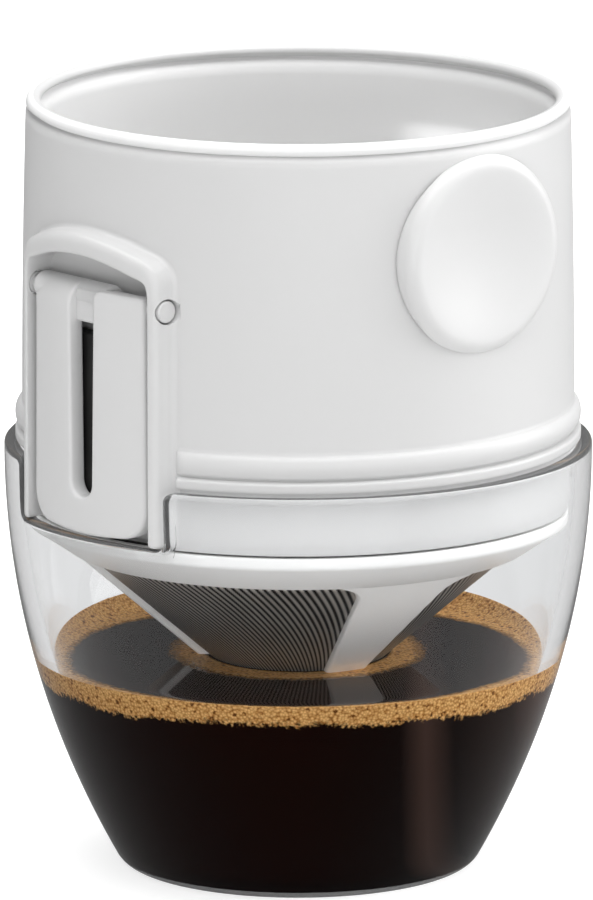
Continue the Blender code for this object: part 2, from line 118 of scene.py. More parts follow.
across = np.array([math.cos(math.radians(VIEW_AZIMUTH)), math.sin(math.radians(VIEW_AZIMUTH)), 0.0])
view_target = np.array([0.0, 0.0, VIEW_HEIGHT]) + across * VIEW_SIDE
camera = bpy.data.objects.new("camera", bpy.data.cameras.new("camera"))
bpy.context.scene.collection.objects.link(camera)
camera.data.lens = VIEW_LENS
camera.data.clip_end = 20.0
aim(camera, view_target + direction(VIEW_AZIMUTH, VIEW_ELEVATION) * VIEW_DISTANCE, view_target)
bpy.context.scene.camera = camera
print(f"camera {VIEW_DISTANCE:.1f} m away with a {VIEW_LENS:.0f} mm lens")

# %% [markdown]
# ## Nets of points
#
# Every new surface here is a net: rows of points, each row a closed ring. Neighbouring rows are joined
# by four-sided faces, and the first and last rows either close on a single point or join each other.
# Working on whole arrays keeps each shape a formula that can be read, and makes a net of a hundred
# thousand points in a blink.

# %% From a net of points to a mesh
def net(points, ends="poles"):
    """Joins rows of points, shaped (rows, columns, 3), into faces. Each row is a closed ring. With ends
    "poles" the first and last rings close on their mean points, and with "ring" they join each other."""
    rows, columns, _ = points.shape
    index = np.arange(rows * columns).reshape(rows, columns)
    right = np.roll(index, -1, axis=1)
    last = rows if ends == "ring" else rows - 1
    upper = np.roll(index, -1, axis=0)[:last]
    upper_right = np.roll(right, -1, axis=0)[:last]
    quads = np.stack([index[:last], right[:last], upper_right, upper], axis=-1).reshape(-1, 4)
    vertices = points.reshape(-1, 3)
    triangles = np.empty((0, 3), int)
    if ends == "poles":
        poles = np.array([points[0].mean(axis=0), points[-1].mean(axis=0)])
        low = np.full(columns, len(vertices))
        vertices = np.vstack([vertices, poles])
        start = np.stack([right[0], index[0], low], axis=-1)
        finish = np.stack([index[-1], right[-1], low + 1], axis=-1)
        triangles = np.vstack([start, finish])
    return outwards(vertices, quads, triangles)


def outwards(vertices, quads, triangles):
    """Turns every face over if the closed net holds a negative volume, so that the faces point out."""
    def volume(a, b, c):
        return np.einsum("ij,ij->i", vertices[a], np.cross(vertices[b], vertices[c])).sum()
    total = volume(*quads[:, :3].T) + volume(*quads[:, [0, 2, 3]].T)
    total += volume(*triangles.T) if len(triangles) else 0.0
    if total < 0:
        quads = quads[:, ::-1]
        triangles = triangles[:, ::-1]
    return vertices, quads, triangles


def mesh_of(name, nets):
    """One mesh from several nets, in metres, shaded smooth."""
    vertices = np.vstack([part[0] for part in nets])
    offsets = np.cumsum([0] + [len(part[0]) for part in nets[:-1]])
    corners = [np.hstack([part[1].ravel() + o, part[2].ravel() + o]) for part, o in zip(nets, offsets)]
    sizes = [np.hstack([np.full(len(part[1]), 4), np.full(len(part[2]), 3)]) for part in nets]
    corners = np.hstack(corners).astype(np.int32)
    sizes = np.hstack(sizes).astype(np.int32)
    mesh = bpy.data.meshes.new(name)
    mesh.vertices.add(len(vertices))
    mesh.vertices.foreach_set("co", (vertices * MM).astype(np.float32).ravel())
    mesh.loops.add(len(corners))
    mesh.loops.foreach_set("vertex_index", corners)
    mesh.polygons.add(len(sizes))
    mesh.polygons.foreach_set("loop_start", (np.cumsum(sizes) - sizes).astype(np.int32))
    mesh.polygons.foreach_set("loop_total", sizes)
    mesh.polygons.foreach_set("use_smooth", np.ones(len(sizes), bool))
    mesh.update(calc_edges=True)
    mesh.validate()
    return mesh


def piece(name, nets, look, body, nodes):
    """A finished piece: its mesh, its material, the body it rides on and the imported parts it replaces."""
    made = bpy.data.objects.new(name, mesh_of(name, nets))
    bpy.context.scene.collection.objects.link(made)
    made.data.materials.append(look)
    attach(made, body)
    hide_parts(*nodes)
    print(f"{name}: {len(made.data.polygons)} faces")
    return made


# %% [markdown]
# ## Curves that the shapes share
#
# Moulded parts are full of the same few curves: a smooth step from one level to another, a line with
# rounded corners, and the flat side of a round wall. Each gets a small function.

# %% Shared curves
def smooth(start, end, x):
    """A step from 0 at start to 1 at end, level at both ends: 3t squared less 2t cubed."""
    t = np.clip((x - start) / (end - start), 0.0, 1.0)
    return t * t * (3 - 2 * t)


def polar(radius, angle, height):
    """Points at a radius and angle (from +X) round the upright axis."""
    radius, angle, height = np.broadcast_arrays(radius, angle, height)
    return np.stack([radius * np.cos(angle), radius * np.sin(angle), height], axis=-1)


def rounded_line(corners, step=0.12):
    """A line through corners given as (x, y, radius), each cut by an arc that touches both sides. The
    arc's centre lies on the corner's bisector, at the radius over the sine of the half angle."""
    points = []
    for i, (x, y, radius) in enumerate(corners):
        here = np.array([x, y], float)
        if radius == 0 or i in (0, len(corners) - 1):
            points.append(here[None])
            continue
        back = np.array(corners[i - 1][:2], float) - here
        ahead = np.array(corners[i + 1][:2], float) - here
        back /= np.linalg.norm(back)
        ahead /= np.linalg.norm(ahead)
        half = math.acos(np.clip(back @ ahead, -1, 1)) / 2
        bisector = (back + ahead) / np.linalg.norm(back + ahead)
        centre = here + bisector * radius / math.sin(half)
        reach = radius / math.tan(half)
        first, last = here + back * reach - centre, here + ahead * reach - centre
        turn = math.atan2(first[0] * last[1] - first[1] * last[0], first @ last)
        angles = np.linspace(0, turn, max(4, int(abs(turn) * radius / step)))
        spun = np.stack([first[0] * np.cos(angles) - first[1] * np.sin(angles),
                         first[0] * np.sin(angles) + first[1] * np.cos(angles)], axis=-1)
        points.append(centre + spun)
    return np.vstack(points)


def along(line, places):
    """Points at given lengths along a line of points."""
    lengths = np.hstack([0, np.cumsum(np.linalg.norm(np.diff(line, axis=0), axis=1))])
    return np.stack([np.interp(places, lengths, line[:, k]) for k in range(line.shape[1])], axis=-1)


def length(line):
    return np.linalg.norm(np.diff(line, axis=0), axis=1).sum()


def bezier(start, pull, end, count):
    """Points on the curve (1-t) squared start + 2t(1-t) pull + t squared end."""
    t = np.linspace(0, 1, count)[:, None]
    return (1 - t) ** 2 * np.array(start) + 2 * t * (1 - t) * np.array(pull) + t ** 2 * np.array(end)


def turned(outline, columns=160):
    """An outline of (radius, height) points turned round the upright axis, closed at both ends."""
    angles = np.arange(columns) * 2 * np.pi / columns
    return polar(outline[:, 0][:, None], angles[None], outline[:, 1][:, None])

# %% [markdown]
# ## White moulded plastic
#
# The dripper, housings, arms, grips and filter frame are injection moulded in a satin white plastic. It
# isn't pure white: the moulding tool leaves a fine matte texture, and the sheen varies a little where
# fingers and cleaning have polished it. A noise at two scales drives the roughness, and a very fine one
# the bump. The base colour drifts by one part in fifty, which stops large faces looking flat. The
# chamber's lining and the filter frame are painted a lighter white than the body: painted light, in
# place of the light that thin walls let through.

# %% A material made from procedural nodes
def new_material(name):
    made = bpy.data.materials.new(name)
    made.use_nodes = True
    tree = made.node_tree
    return made, tree, tree.nodes["Principled BSDF"]


def node(tree, kind, links=(), **settings):
    """Adds a node, sets its properties and default inputs, and links its inputs. A setting named by an
    input's label fills that input, and any other sets a property of the node."""
    made = tree.nodes.new(kind)
    for key, value in settings.items():
        label = key.replace("_", " ")
        if label in made.inputs:
            made.inputs[label].default_value = value
        else:
            setattr(made, key, value)
    for label, source in dict(links).items():
        tree.links.new(source, made.inputs[label])
    return made


def scaled(tree, value, low, high, start=0.3, end=0.7):
    """Maps a value from start..end to low..high."""
    made = node(tree, "ShaderNodeMapRange", {"Value": value})
    for label, number in (("From Min", start), ("From Max", end), ("To Min", low), ("To Max", high)):
        made.inputs[label].default_value = number
    return made.outputs["Result"]


def combined(tree, operation, first, second):
    """One number made from two by a math node."""
    return node(tree, "ShaderNodeMath", {0: first, 1: second}, operation=operation).outputs[0]


def white_plastic(name, colour, roughness, grain=0.03):
    made, tree, shader = new_material(name)
    place = tree.nodes.new("ShaderNodeTexCoord").outputs["Object"]
    wear = node(tree, "ShaderNodeTexNoise", {"Vector": place}, Scale=45.0, Detail=1.0)
    texture = node(tree, "ShaderNodeTexNoise", {"Vector": place}, Scale=2600.0, Detail=2.0)
    tint = node(tree, "ShaderNodeTexNoise", {"Vector": place}, Scale=18.0, Detail=0.0)
    ramp = node(tree, "ShaderNodeValToRGB", {"Fac": tint.outputs["Fac"]})
    ramp.color_ramp.elements[0].position = 0.2
    ramp.color_ramp.elements[1].position = 0.8
    ramp.color_ramp.elements[0].color = (*[c * 0.98 for c in colour], 1)
    ramp.color_ramp.elements[1].color = (*colour, 1)
    tree.links.new(ramp.outputs["Color"], shader.inputs["Base Color"])
    rough = scaled(tree, wear.outputs["Fac"], roughness - 0.02, roughness + 0.03)
    tree.links.new(rough, shader.inputs["Roughness"])
    bump = node(tree, "ShaderNodeBump", {"Height": texture.outputs["Fac"]}, Strength=grain, Distance=0.0001)
    tree.links.new(bump.outputs["Normal"], shader.inputs["Normal"])
    shader.inputs["IOR"].default_value = 1.5
    shader.inputs["Subsurface Weight"].default_value = 0.12
    shader.inputs["Subsurface Radius"].default_value = (1.0, 1.0, 1.0)
    shader.inputs["Subsurface Scale"].default_value = 0.0015
    return made


WHITE = (0.71, 0.71, 0.71)
body_white = white_plastic("satin_white_body", WHITE, 0.38)
housing_white = white_plastic("satin_white_housing", WHITE, 0.36)
arm_white = white_plastic("satin_white_arm", (0.74, 0.74, 0.74), 0.38)
grip_white = white_plastic("satin_white_grip", (0.74, 0.74, 0.74), 0.36)
# painted light: the chamber's lining and the filter frame get a lighter white than the body, in place of the
# light that thin walls let through
chamber_white_painted_light = white_plastic("satin_white_chamber_painted_light", (0.95, 0.95, 0.95), 0.4)
frame_white_painted_light = white_plastic("satin_white_filter_frame_painted_light", (0.95, 0.95, 0.94), 0.38)
print("white plastics made")

# %% [markdown]
# ## The clear cup
#
# The cup is one clear plastic moulding: a curved side, a thick floor, and a rim with two square notches
# that the arm housings drop into. A plain turned shape can't have notches, and cutting them out with a
# Boolean would leave ragged shading on clear plastic, where every ripple shows. Instead the rim is a
# path that dips into each notch. The net's columns hang from points spaced evenly along that path, and
# fan out to an even ring lower down, so the surface stays one smooth sheet round the notch's corners.

# %% The rim's path
RIM_Z = cup_high[2]
RIM_R = cup_high[1]
CUP_WALL = 2.3
NOTCH_HALF = 15.6
NOTCH_Z = 54.9
NOTCH_CORNER = 1.4
FAN_Z = 46.0  # below this height the columns are evenly spaced

notch_u = RIM_R * math.asin(NOTCH_HALF / RIM_R)
quarter = RIM_R * math.pi / 2
rim_half = rounded_line([
    (-quarter, RIM_Z, 0),
    (-notch_u, RIM_Z, NOTCH_CORNER),
    (-notch_u, NOTCH_Z, NOTCH_CORNER),
    (notch_u, NOTCH_Z, NOTCH_CORNER),
    (notch_u, RIM_Z, NOTCH_CORNER),
    (quarter, RIM_Z, 0),
])
HALF_COLUMNS = 300
half_length = length(rim_half)
even = np.arange(HALF_COLUMNS) * half_length / HALF_COLUMNS
rim_path = along(rim_half, even)
rim_turn = along(rim_half, even + 0.02) - along(rim_half, np.maximum(even - 0.02, 0))
rim_turn /= np.linalg.norm(rim_turn, axis=1)[:, None]
rim_angle = np.hstack([rim_path[:, 0] / RIM_R, rim_path[:, 0] / RIM_R + math.pi])
rim_height = np.tile(rim_path[:, 1], 2)
normal_u = np.tile(-rim_turn[:, 1], 2)
normal_z = np.tile(rim_turn[:, 0], 2)
fan_angle = np.arange(2 * HALF_COLUMNS) * math.pi / HALF_COLUMNS - math.pi / 2
print(f"rim path {2 * half_length:.0f} mm long")

# %% The cup's walls, lip and floor
FOOT_R = 26.9
FOOT_Z = 1.5
FOOT_ROUND = 3.0
CUP_PULL = (43.1, 30.5)
FLOOR_Z = 3.0
BEND_Z = 8.0  # the floor's rounded corner reaches up to here
LIP_ROUND = 0.7

side = bezier((FOOT_R, FOOT_Z), CUP_PULL, (RIM_R, RIM_Z - CUP_WALL / 2), 400)
inner_side = bezier((FOOT_R - CUP_WALL, FLOOR_Z + 1.4), (CUP_PULL[0] - CUP_WALL, CUP_PULL[1] + 1),
                    (RIM_R - CUP_WALL, RIM_Z - CUP_WALL / 2), 400)


def cup_radius(height, inner=False):
    line = inner_side if inner else side
    return np.interp(height, line[:, 1], line[:, 0])


def flat_turn(angle, radius, weight):
    """The angle at this radius that keeps the sideways distance which the angle has at the rim's outer
    face, so that a notch's cut stays flat through the wall. The weight fades this out."""
    nearest = np.round(angle / math.pi) * math.pi
    off = angle - nearest
    flat = np.arcsin(np.clip(RIM_R * np.sin(off) / radius, -1, 1))
    return nearest + off + (flat - off) * weight


def near_notch(angle):
    off = np.abs(angle - np.round(angle / math.pi) * math.pi)
    return 1 - smooth(0.5, 0.9, off)


def cup_wall(share, inner, inset):
    """Rows of a wall from the fan ring up to the path, less an inset along the path's normal. Each row
    is the path and the even ring mixed by its share, 0 at the ring and 1 at the path."""
    share = share[:, None]
    angle = (1 - share) * fan_angle + share * (rim_angle - normal_u * inset / RIM_R)
    height = (1 - share) * FAN_Z + share * (rim_height - normal_z * inset)
    radius = cup_radius(height, inner)
    return polar(radius, flat_turn(angle, radius, near_notch(angle) * share), height)


def lip(turns, inset):
    """Rows over the edge, from the outer face to the inner one. Across the wall they follow the cosine
    and along the path's normal the sine, each to the power 2/3, which makes a flat edge with round
    corners."""
    turns = turns[:, None]
    bend = np.sin(turns) ** (2 / 3)
    place = np.sign(np.cos(turns)) * np.abs(np.cos(turns)) ** (2 / 3)
    angle = rim_angle - normal_u * inset * (1 - bend) / RIM_R
    height = rim_height - normal_z * inset * (1 - bend)
    outer, inner = cup_radius(height), cup_radius(height, True)
    radius = (outer + inner) / 2 + (outer - inner) / 2 * place
    return polar(radius, flat_turn(angle, radius, near_notch(angle)), height)


def cup_net():
    """Rows from the centre of the floor, up the inside, over the lip and down the outside to the base."""
    lean = math.atan2(FOOT_R - CUP_PULL[0], CUP_PULL[1] - FOOT_Z)
    foot_centre = FOOT_R - FOOT_ROUND * math.cos(lean)
    bend = np.linspace(lean, -math.pi / 2, 10)[1:]
    corner = np.stack([foot_centre + FOOT_ROUND * np.cos(bend), FOOT_ROUND + FOOT_ROUND * np.sin(bend)], -1)
    floor_r = FOOT_R - CUP_WALL
    bend_end = (cup_radius(BEND_Z, True), BEND_Z)
    floor_bend = bezier((floor_r - 7.0, FLOOR_Z), (floor_r - 0.6, FLOOR_Z), bend_end, 14)
    floor = np.vstack([[(0.4, FLOOR_Z), (6, FLOOR_Z), (12, FLOOR_Z)], floor_bend])
    low_inner = np.linspace(BEND_Z, FAN_Z, 26)[1:-1]
    low_outer = np.linspace(FAN_Z, FOOT_Z, 26)[1:]
    spread = fan_angle[None]
    share = np.sin(np.linspace(0, math.pi / 2, 22))
    turns = np.linspace(0, math.pi, 15)[1:-1]
    rows = [
        polar(floor[:, :1], spread, floor[:, 1:]),
        polar(cup_radius(low_inner, True)[:, None], spread, low_inner[:, None]),
        cup_wall(share, True, LIP_ROUND),
        lip(turns[::-1], LIP_ROUND),
        cup_wall(share[::-1], False, LIP_ROUND),
        polar(cup_radius(low_outer)[:, None], spread, low_outer[:, None]),
        polar(corner[:, :1], spread, corner[:, 1:]),
        polar(np.array([[16.0], [8.0], [0.4]]), spread, 0.0),
    ]
    return net(np.vstack(rows))


LIP_ROWS = (62, 76)  # the rows of faces that make the lip and the notches' edges
FOOT_ROWS = 12  # the last rows of faces, under the cup and round its lower corner
print("cup net has", len(cup_net()[0]), "points")

# %% [markdown]
# ## Clear plastic
#
# The cup is polished clear plastic. It bends light like any clear solid of index 1.5, and it lets the
# lamps' light through to what is inside, which a plain glass shader blocks with a dark shadow. So the
# shader turns transparent for shadow rays only. Very faint waves in the surface, as injection moulding
# leaves, keep its reflections from looking like cut crystal. The cut rim and the foot are less polished
# than the wall, so they scatter a part of the light.

# %% The clear material
def clear_plastic(name, clearness=1.0, haze=0.012):
    made, tree, shader = new_material(name)
    place = tree.nodes.new("ShaderNodeTexCoord").outputs["Object"]
    waves = node(tree, "ShaderNodeTexNoise", {"Vector": place}, Scale=60.0, Detail=1.0)
    marks = node(tree, "ShaderNodeTexNoise", {"Vector": place}, Scale=120.0, Detail=0.0)
    bump = node(tree, "ShaderNodeBump", {"Height": waves.outputs["Fac"]}, Strength=0.05, Distance=0.0002)
    tree.links.new(bump.outputs["Normal"], shader.inputs["Normal"])
    tree.links.new(scaled(tree, marks.outputs["Fac"], haze * 0.3, haze), shader.inputs["Roughness"])
    shader.inputs["Base Color"].default_value = (0.97, 0.975, 0.98, 1)
    shader.inputs["Transmission Weight"].default_value = clearness
    shader.inputs["IOR"].default_value = 1.49
    shader.inputs["Specular Tint"].default_value = (0.15, 0.15, 0.15, 1)
    clear = node(tree, "ShaderNodeBsdfTransparent", Color=(0.99, 0.99, 0.99, 1))
    path = tree.nodes.new("ShaderNodeLightPath")
    mix = tree.nodes.new("ShaderNodeMixShader")
    tree.links.new(path.outputs["Is Shadow Ray"], mix.inputs[0])
    tree.links.new(shader.outputs["BSDF"], mix.inputs[1])
    tree.links.new(clear.outputs["BSDF"], mix.inputs[2])
    tree.links.new(mix.outputs["Shader"], tree.nodes["Material Output"].inputs["Surface"])
    return made


cup = piece("clear_cup", [cup_net()], clear_plastic("clear_plastic_cup"), "cup", ["server_cup"])
cup.data.materials.append(clear_plastic("dull_plastic_rim", clearness=0.88, haze=0.12))
cup.data.materials.append(clear_plastic("ground_plastic_foot", clearness=0.75, haze=0.15))
quad_rows = np.arange(len(cup.data.polygons)) // (2 * HALF_COLUMNS)
on_lip = (quad_rows >= LIP_ROWS[0]) & (quad_rows < LIP_ROWS[1])
on_foot = quad_rows >= quad_rows.max() - FOOT_ROWS
cup.data.polygons.foreach_set("material_index", (on_lip + 2 * on_foot).astype(np.int32))
print(f"{on_lip.sum()} rim faces are dull, {on_foot.sum()} foot faces are ground")

# %% [markdown]
# ## The dripper's body
#
# The body is a tube with a rounded lip, a bead round its foot and a flange that rests on the cup. The
# bead and the flange stop short of each arm housing, the outside is flat behind the arms, and the
# chamber's wall bulges inwards there to keep its thickness. All of this is one net: its rows run down
# the outside, under the skirt and up the inside, and each row's radius is a function of the angle. The
# steps into the flat pockets lie inside the housings' walls, where they can't be seen.

# %% The body's sizes and its side
BODY_WALL = 2.2
TOP_R, MID_R, LOW_R = 39.85, 40.45, 40.6
MID_Z = 88.0
BEAD_Z, BEAD_HALF, BEAD_R = 67.9, 1.7, 41.6
FLANGE_TOP = 65.8
FLANGE_LOW = RIM_Z + 0.3
SKIRT_R = 39.9
SKIRT_LOW = body_low[2]
LEDGE_R, LEDGE_TOP = 34.0, SKIRT_LOW + 2.0
POCKET_N = 36.2
BOSS_N, BOSS_TOP = 34.2, 102.0
HOUSING_HALF = 14.95
HOUSING_ROOT = 15.45
BODY_TOP = body_high[2]
HOLE_R = 1.9


def tube_radius(height):
    """The outside's radius: a parabola through the radii at the bead, the middle and the lip."""
    fit = np.polyfit([BEAD_Z, MID_Z, BODY_TOP], [LOW_R, MID_R, TOP_R], 2)
    return np.polyval(fit, height)


def sideways(angle, radius):
    """How far a point is from the centre line of the nearest arm, and how far round it is from it."""
    off = angle - np.round(angle / math.pi) * math.pi
    return np.abs(radius * np.sin(off)), off


def arch_height(across_mm, half, top, rise):
    """The height of a bowed top: a circle through the arch's shoulders and its crown."""
    bow = (half ** 2 + rise ** 2) / (2 * rise)
    return top - bow + np.sqrt(bow ** 2 - np.minimum(across_mm, half) ** 2)


SEAT_R = 13.5
SEAT_DEEP = 1.5
grip_z = (grip_low[2] + grip_high[2]) / 2


def outer_radius(angle, height):
    """The tube's radius, plus the bead and the flange, less the flat pocket behind each arm and the round
    seat behind each grip. The bead is half an ellipse in height and ends in a quarter circle beside each
    housing."""
    radius = tube_radius(height)
    away, off = sideways(angle, radius)
    gap = away - HOUSING_ROOT - 0.35
    beyond = np.abs(off) > 0.9
    end = np.where(beyond, 1.0, np.clip(gap / BEAD_HALF, 0, 1))
    bead_end = np.sqrt(np.clip(1 - (1 - end) ** 2, 0, 1))
    rise = np.sqrt(np.clip(1 - ((height - BEAD_Z) / BEAD_HALF) ** 2, 0, 1))
    bead = (BEAD_R - LOW_R) * rise * bead_end
    flange_end = np.where(beyond, 1.0, smooth(0, 0.35, gap))
    edge = np.minimum(height - FLANGE_LOW, FLANGE_TOP - height)
    flange = (BEAD_R - LOW_R) * np.sqrt(np.clip(1 - (1 - np.clip(edge / 0.35, 0, 1)) ** 2, 0, 1)) * flange_end
    flange = np.where((height > FLANGE_LOW) & (height < FLANGE_TOP), flange, 0)
    radius = radius + np.maximum(bead, flange)
    from_pin = np.hypot(radius * np.cos(off) - pin_n, height - pin_z)
    hole = (1 - smooth(HOLE_R - 0.12, HOLE_R + 0.02, from_pin)) * (away < HOUSING_ROOT + 0.6)
    from_grip = np.hypot(radius * np.cos(angle), height - grip_z)
    seat = SEAT_DEEP * (1 - smooth(SEAT_R - 2.0, SEAT_R, from_grip))
    return pocketed(radius - 1.4 * hole - seat, angle, height)


def pocketed(radius, angle, height):
    """Mixes a radius with that of the flat pocket floor, inside the housing's outline."""
    away, off = sideways(angle, radius)
    crown = arch_height(away, HOUSING_HALF, housing_high[2] - 1.4, 3.0)
    inside = (1 - smooth(13.6, 14.8, away)) * (1 - smooth(crown - 0.9, crown + 0.9, height))
    inside = np.where(np.abs(off) < 0.9, inside, 0)
    return radius + (POCKET_N / np.cos(np.clip(off, -0.9, 0.9)) - radius) * inside


def inner_radius(angle, height):
    """The chamber's radius, cut short by the flat boss behind each arm, which slopes off at its top."""
    radius = tube_radius(height) - BODY_WALL
    off = angle - np.round(angle / math.pi) * math.pi
    flat = BOSS_N / np.cos(np.clip(off, -0.9, 0.9))
    part = 1 - smooth(BOSS_TOP - 1.0, BOSS_TOP + 2.5, height)
    blend = 0.6  # rounds the boss's upright edges
    lower = 0.5 * (radius + flat - np.sqrt((radius - flat) ** 2 + blend ** 2))
    return radius + (np.minimum(lower, radius) - radius) * part


# %% The body's net
LUG_BEARING = math.radians(105.0)  # the slots that the filter's lugs rise through
LUG_SLOT_HALF = 0.15


def body_angles():
    """Angles round the body, closer together where the housings and the bead's ends are."""
    base = np.linspace(0, math.pi / 2, 60)
    edges = np.arcsin(np.arange(13.2, 18.2, 0.16) / LOW_R)
    slots = np.abs(LUG_BEARING - math.pi / 2) + np.array([-0.004, 0.004, -0.012, 0.012])
    slots = np.hstack([math.pi / 2 - slots - LUG_SLOT_HALF, math.pi / 2 - slots + LUG_SLOT_HALF])
    quadrant = np.unique(np.round(np.hstack([base, edges, slots]), 5))
    quadrant = quadrant[np.hstack([True, np.diff(quadrant) > 0.0015])]
    half = np.hstack([quadrant, math.pi - quadrant[::-1][1:-1], [math.pi]])[:-1]
    return np.hstack([half, half + math.pi])


def ledge_radius(angle):
    """The ledge's inner edge, which steps back at the two slots for the filter's lugs."""
    off = np.abs((angle - LUG_BEARING + math.pi / 2) % math.pi - math.pi / 2)
    return LEDGE_R + 2.8 * (1 - smooth(LUG_SLOT_HALF - 0.006, LUG_SLOT_HALF + 0.006, off))


def body_net():
    angle = body_angles()[None]
    lip_round = BODY_WALL / 2
    lip_z = BODY_TOP - lip_round
    turn = np.linspace(0, math.pi, 15)[:, None]
    lip_r = tube_radius(lip_z) - lip_round + lip_round * np.sign(np.cos(turn)) * np.abs(np.cos(turn)) ** 0.8
    lip_rows = polar(lip_r, angle, lip_z + lip_round * np.sin(turn) ** 0.8)
    heights = np.hstack([
        np.linspace(lip_z, 103, 10)[1:],
        np.arange(102.6, 93.0, -0.3),
        np.arange(92.4, 87.8, -0.11),
        np.linspace(87.5, 70.2, 18),
        BEAD_Z + BEAD_HALF * np.cos(np.linspace(0, math.pi, 17)),
        FLANGE_TOP + 0.05 - np.array([0.0, 0.02, 0.1, 0.2, 0.35, 0.6, 1.2]),
        FLANGE_LOW + np.array([0.35, 0.2, 0.1, 0.03]),
    ])[:, None]
    outside = polar(outer_radius(angle, heights), angle, heights)
    skirt_z = [FLANGE_LOW, FLANGE_LOW - 0.05, 62, 59, 57, SKIRT_LOW + 0.3, SKIRT_LOW + 0.08]
    skirt_z = np.array(skirt_z)[:, None]
    skirt_r = np.array([LOW_R, SKIRT_R, SKIRT_R, SKIRT_R, SKIRT_R, SKIRT_R, SKIRT_R - 0.1])[:, None]
    skirt = polar(pocketed(skirt_r + 0 * angle, angle, skirt_z), angle, skirt_z)
    ledge = ledge_radius(angle)
    under_r = np.array([SKIRT_R - 0.3, 38.6, 37.4])[:, None]
    under = polar(np.minimum(pocketed(under_r + 0 * angle, angle, SKIRT_LOW), under_r), angle, SKIRT_LOW)
    steps = np.array([(0.25, 0), (0.05, 0.1), (0, 0.3), (0, 1.7), (0.05, 1.9), (0.25, 2.0)])
    edge = polar(ledge + steps[:, :1], angle, SKIRT_LOW + steps[:, 1:])
    shelf = polar(ledge + (inner_radius(angle, LEDGE_TOP) - 0.3 - ledge) * 0.8, angle, LEDGE_TOP)
    inner_z = np.hstack([[LEDGE_TOP + 0.2], np.linspace(58, 100, 14), np.arange(100.5, 105.2, 0.5),
                         np.linspace(106, lip_z, 6)[:-1]])[:, None]
    inside = polar(inner_radius(angle, inner_z), angle, inner_z)
    rows = np.vstack([lip_rows, outside, skirt, under, edge, shelf, inside])
    return net(rows, ends="ring")


body = piece("dripper_body_shell", [body_net()], body_white, "dripper", ["dripper_body"])
# painted light: the chamber's inner faces take the lighter white
body.data.materials.append(chamber_white_painted_light)
face_count = len(body.data.polygons)
face_at, face_way = np.empty(3 * face_count), np.empty(3 * face_count)
body.data.polygons.foreach_get("center", face_at)
body.data.polygons.foreach_get("normal", face_way)
looks_in = (face_at * face_way).reshape(-1, 3)[:, :2].sum(axis=1) < 0
body.data.polygons.foreach_set("material_index", looks_in.astype(np.int32))
print(f"{looks_in.sum()} faces line the chamber")

# %% [markdown]
# ## The two arm housings
#
# Each housing is an arched frame that stands on the body and is open at the bottom, like a doorway. The
# arm hangs in it. Its rails are thin, its arch is thicker, and its outer edge rolls softly into the
# body's side. It could be a rounded box with a hole cut in it, but then one Bevel width would have to
# serve the thin rails and the thick arch alike. Here a profile is carried along the arch's outline. The
# profile widens towards the crown, and its outer face keeps to one cylinder.

# %% Places given from an arm's point of view
SIDES = {"left": 180.0, "right": 0.0}


def facing(bearing, out, side, height):
    """Points from their distance out from the axis towards a bearing in degrees, sideways and upwards."""
    out, side, height = np.broadcast_arrays(out, side, height)
    c, s = math.cos(math.radians(bearing)), math.sin(math.radians(bearing))
    return np.stack([out * c - side * s, out * s + side * c, height], axis=-1)


def on_round(radius, side):
    """How far out a round wall is at a sideways distance from its middle line, by Pythagoras."""
    return np.sqrt(np.maximum(radius ** 2 - side ** 2, 0))


def skin(side, height):
    """How far out the body's surface is: the tube above the flange, and the skirt below it."""
    radius = SKIRT_R + (tube_radius(height) - SKIRT_R) * smooth(62.4, 64.2, height)
    return on_round(radius, side)


# %% The housings
HOUSING_R = housing_high[0]
RAIL, ARCH = 1.6, 2.9


def frame_profile():
    """The frame's section, from its foot on the body, up the outer side, over the face and down the
    opening's side. Each point has a fixed and a width-based distance from the outer edge, and a height
    from 0 at the body to 1 at the face. The rounded corners are quarter circles."""
    fillet, flare, high = 0.75, 0.35, 2.85
    quarter = np.linspace(0, math.pi / 2, 9)
    foot = [(-flare - fillet * (1 - math.sin(q)), 0, fillet * (1 - math.cos(q)) / high) for q in quarter]
    face = [(0, 0.5 * (1 - math.cos(q)), 1 - 0.32 * (1 - math.sin(q))) for q in quarter]
    across_face = [(0, share, 1) for share in (0.6, 0.7)]
    inner = [(0, 1 - 0.2 * (1 - math.sin(q)), 1 - 0.14 * (1 - math.cos(q))) for q in quarter]
    side = [(-flare * (1 - share), 0, 0.27 + 0.39 * share) for share in (0.25, 0.5, 0.75)]
    wall = [(0, 1, height) for height in (0.6, 0.3, 0.0)]
    return np.array([(-flare - fillet, 0, -0.15)] + foot + side + face + across_face + inner + wall)


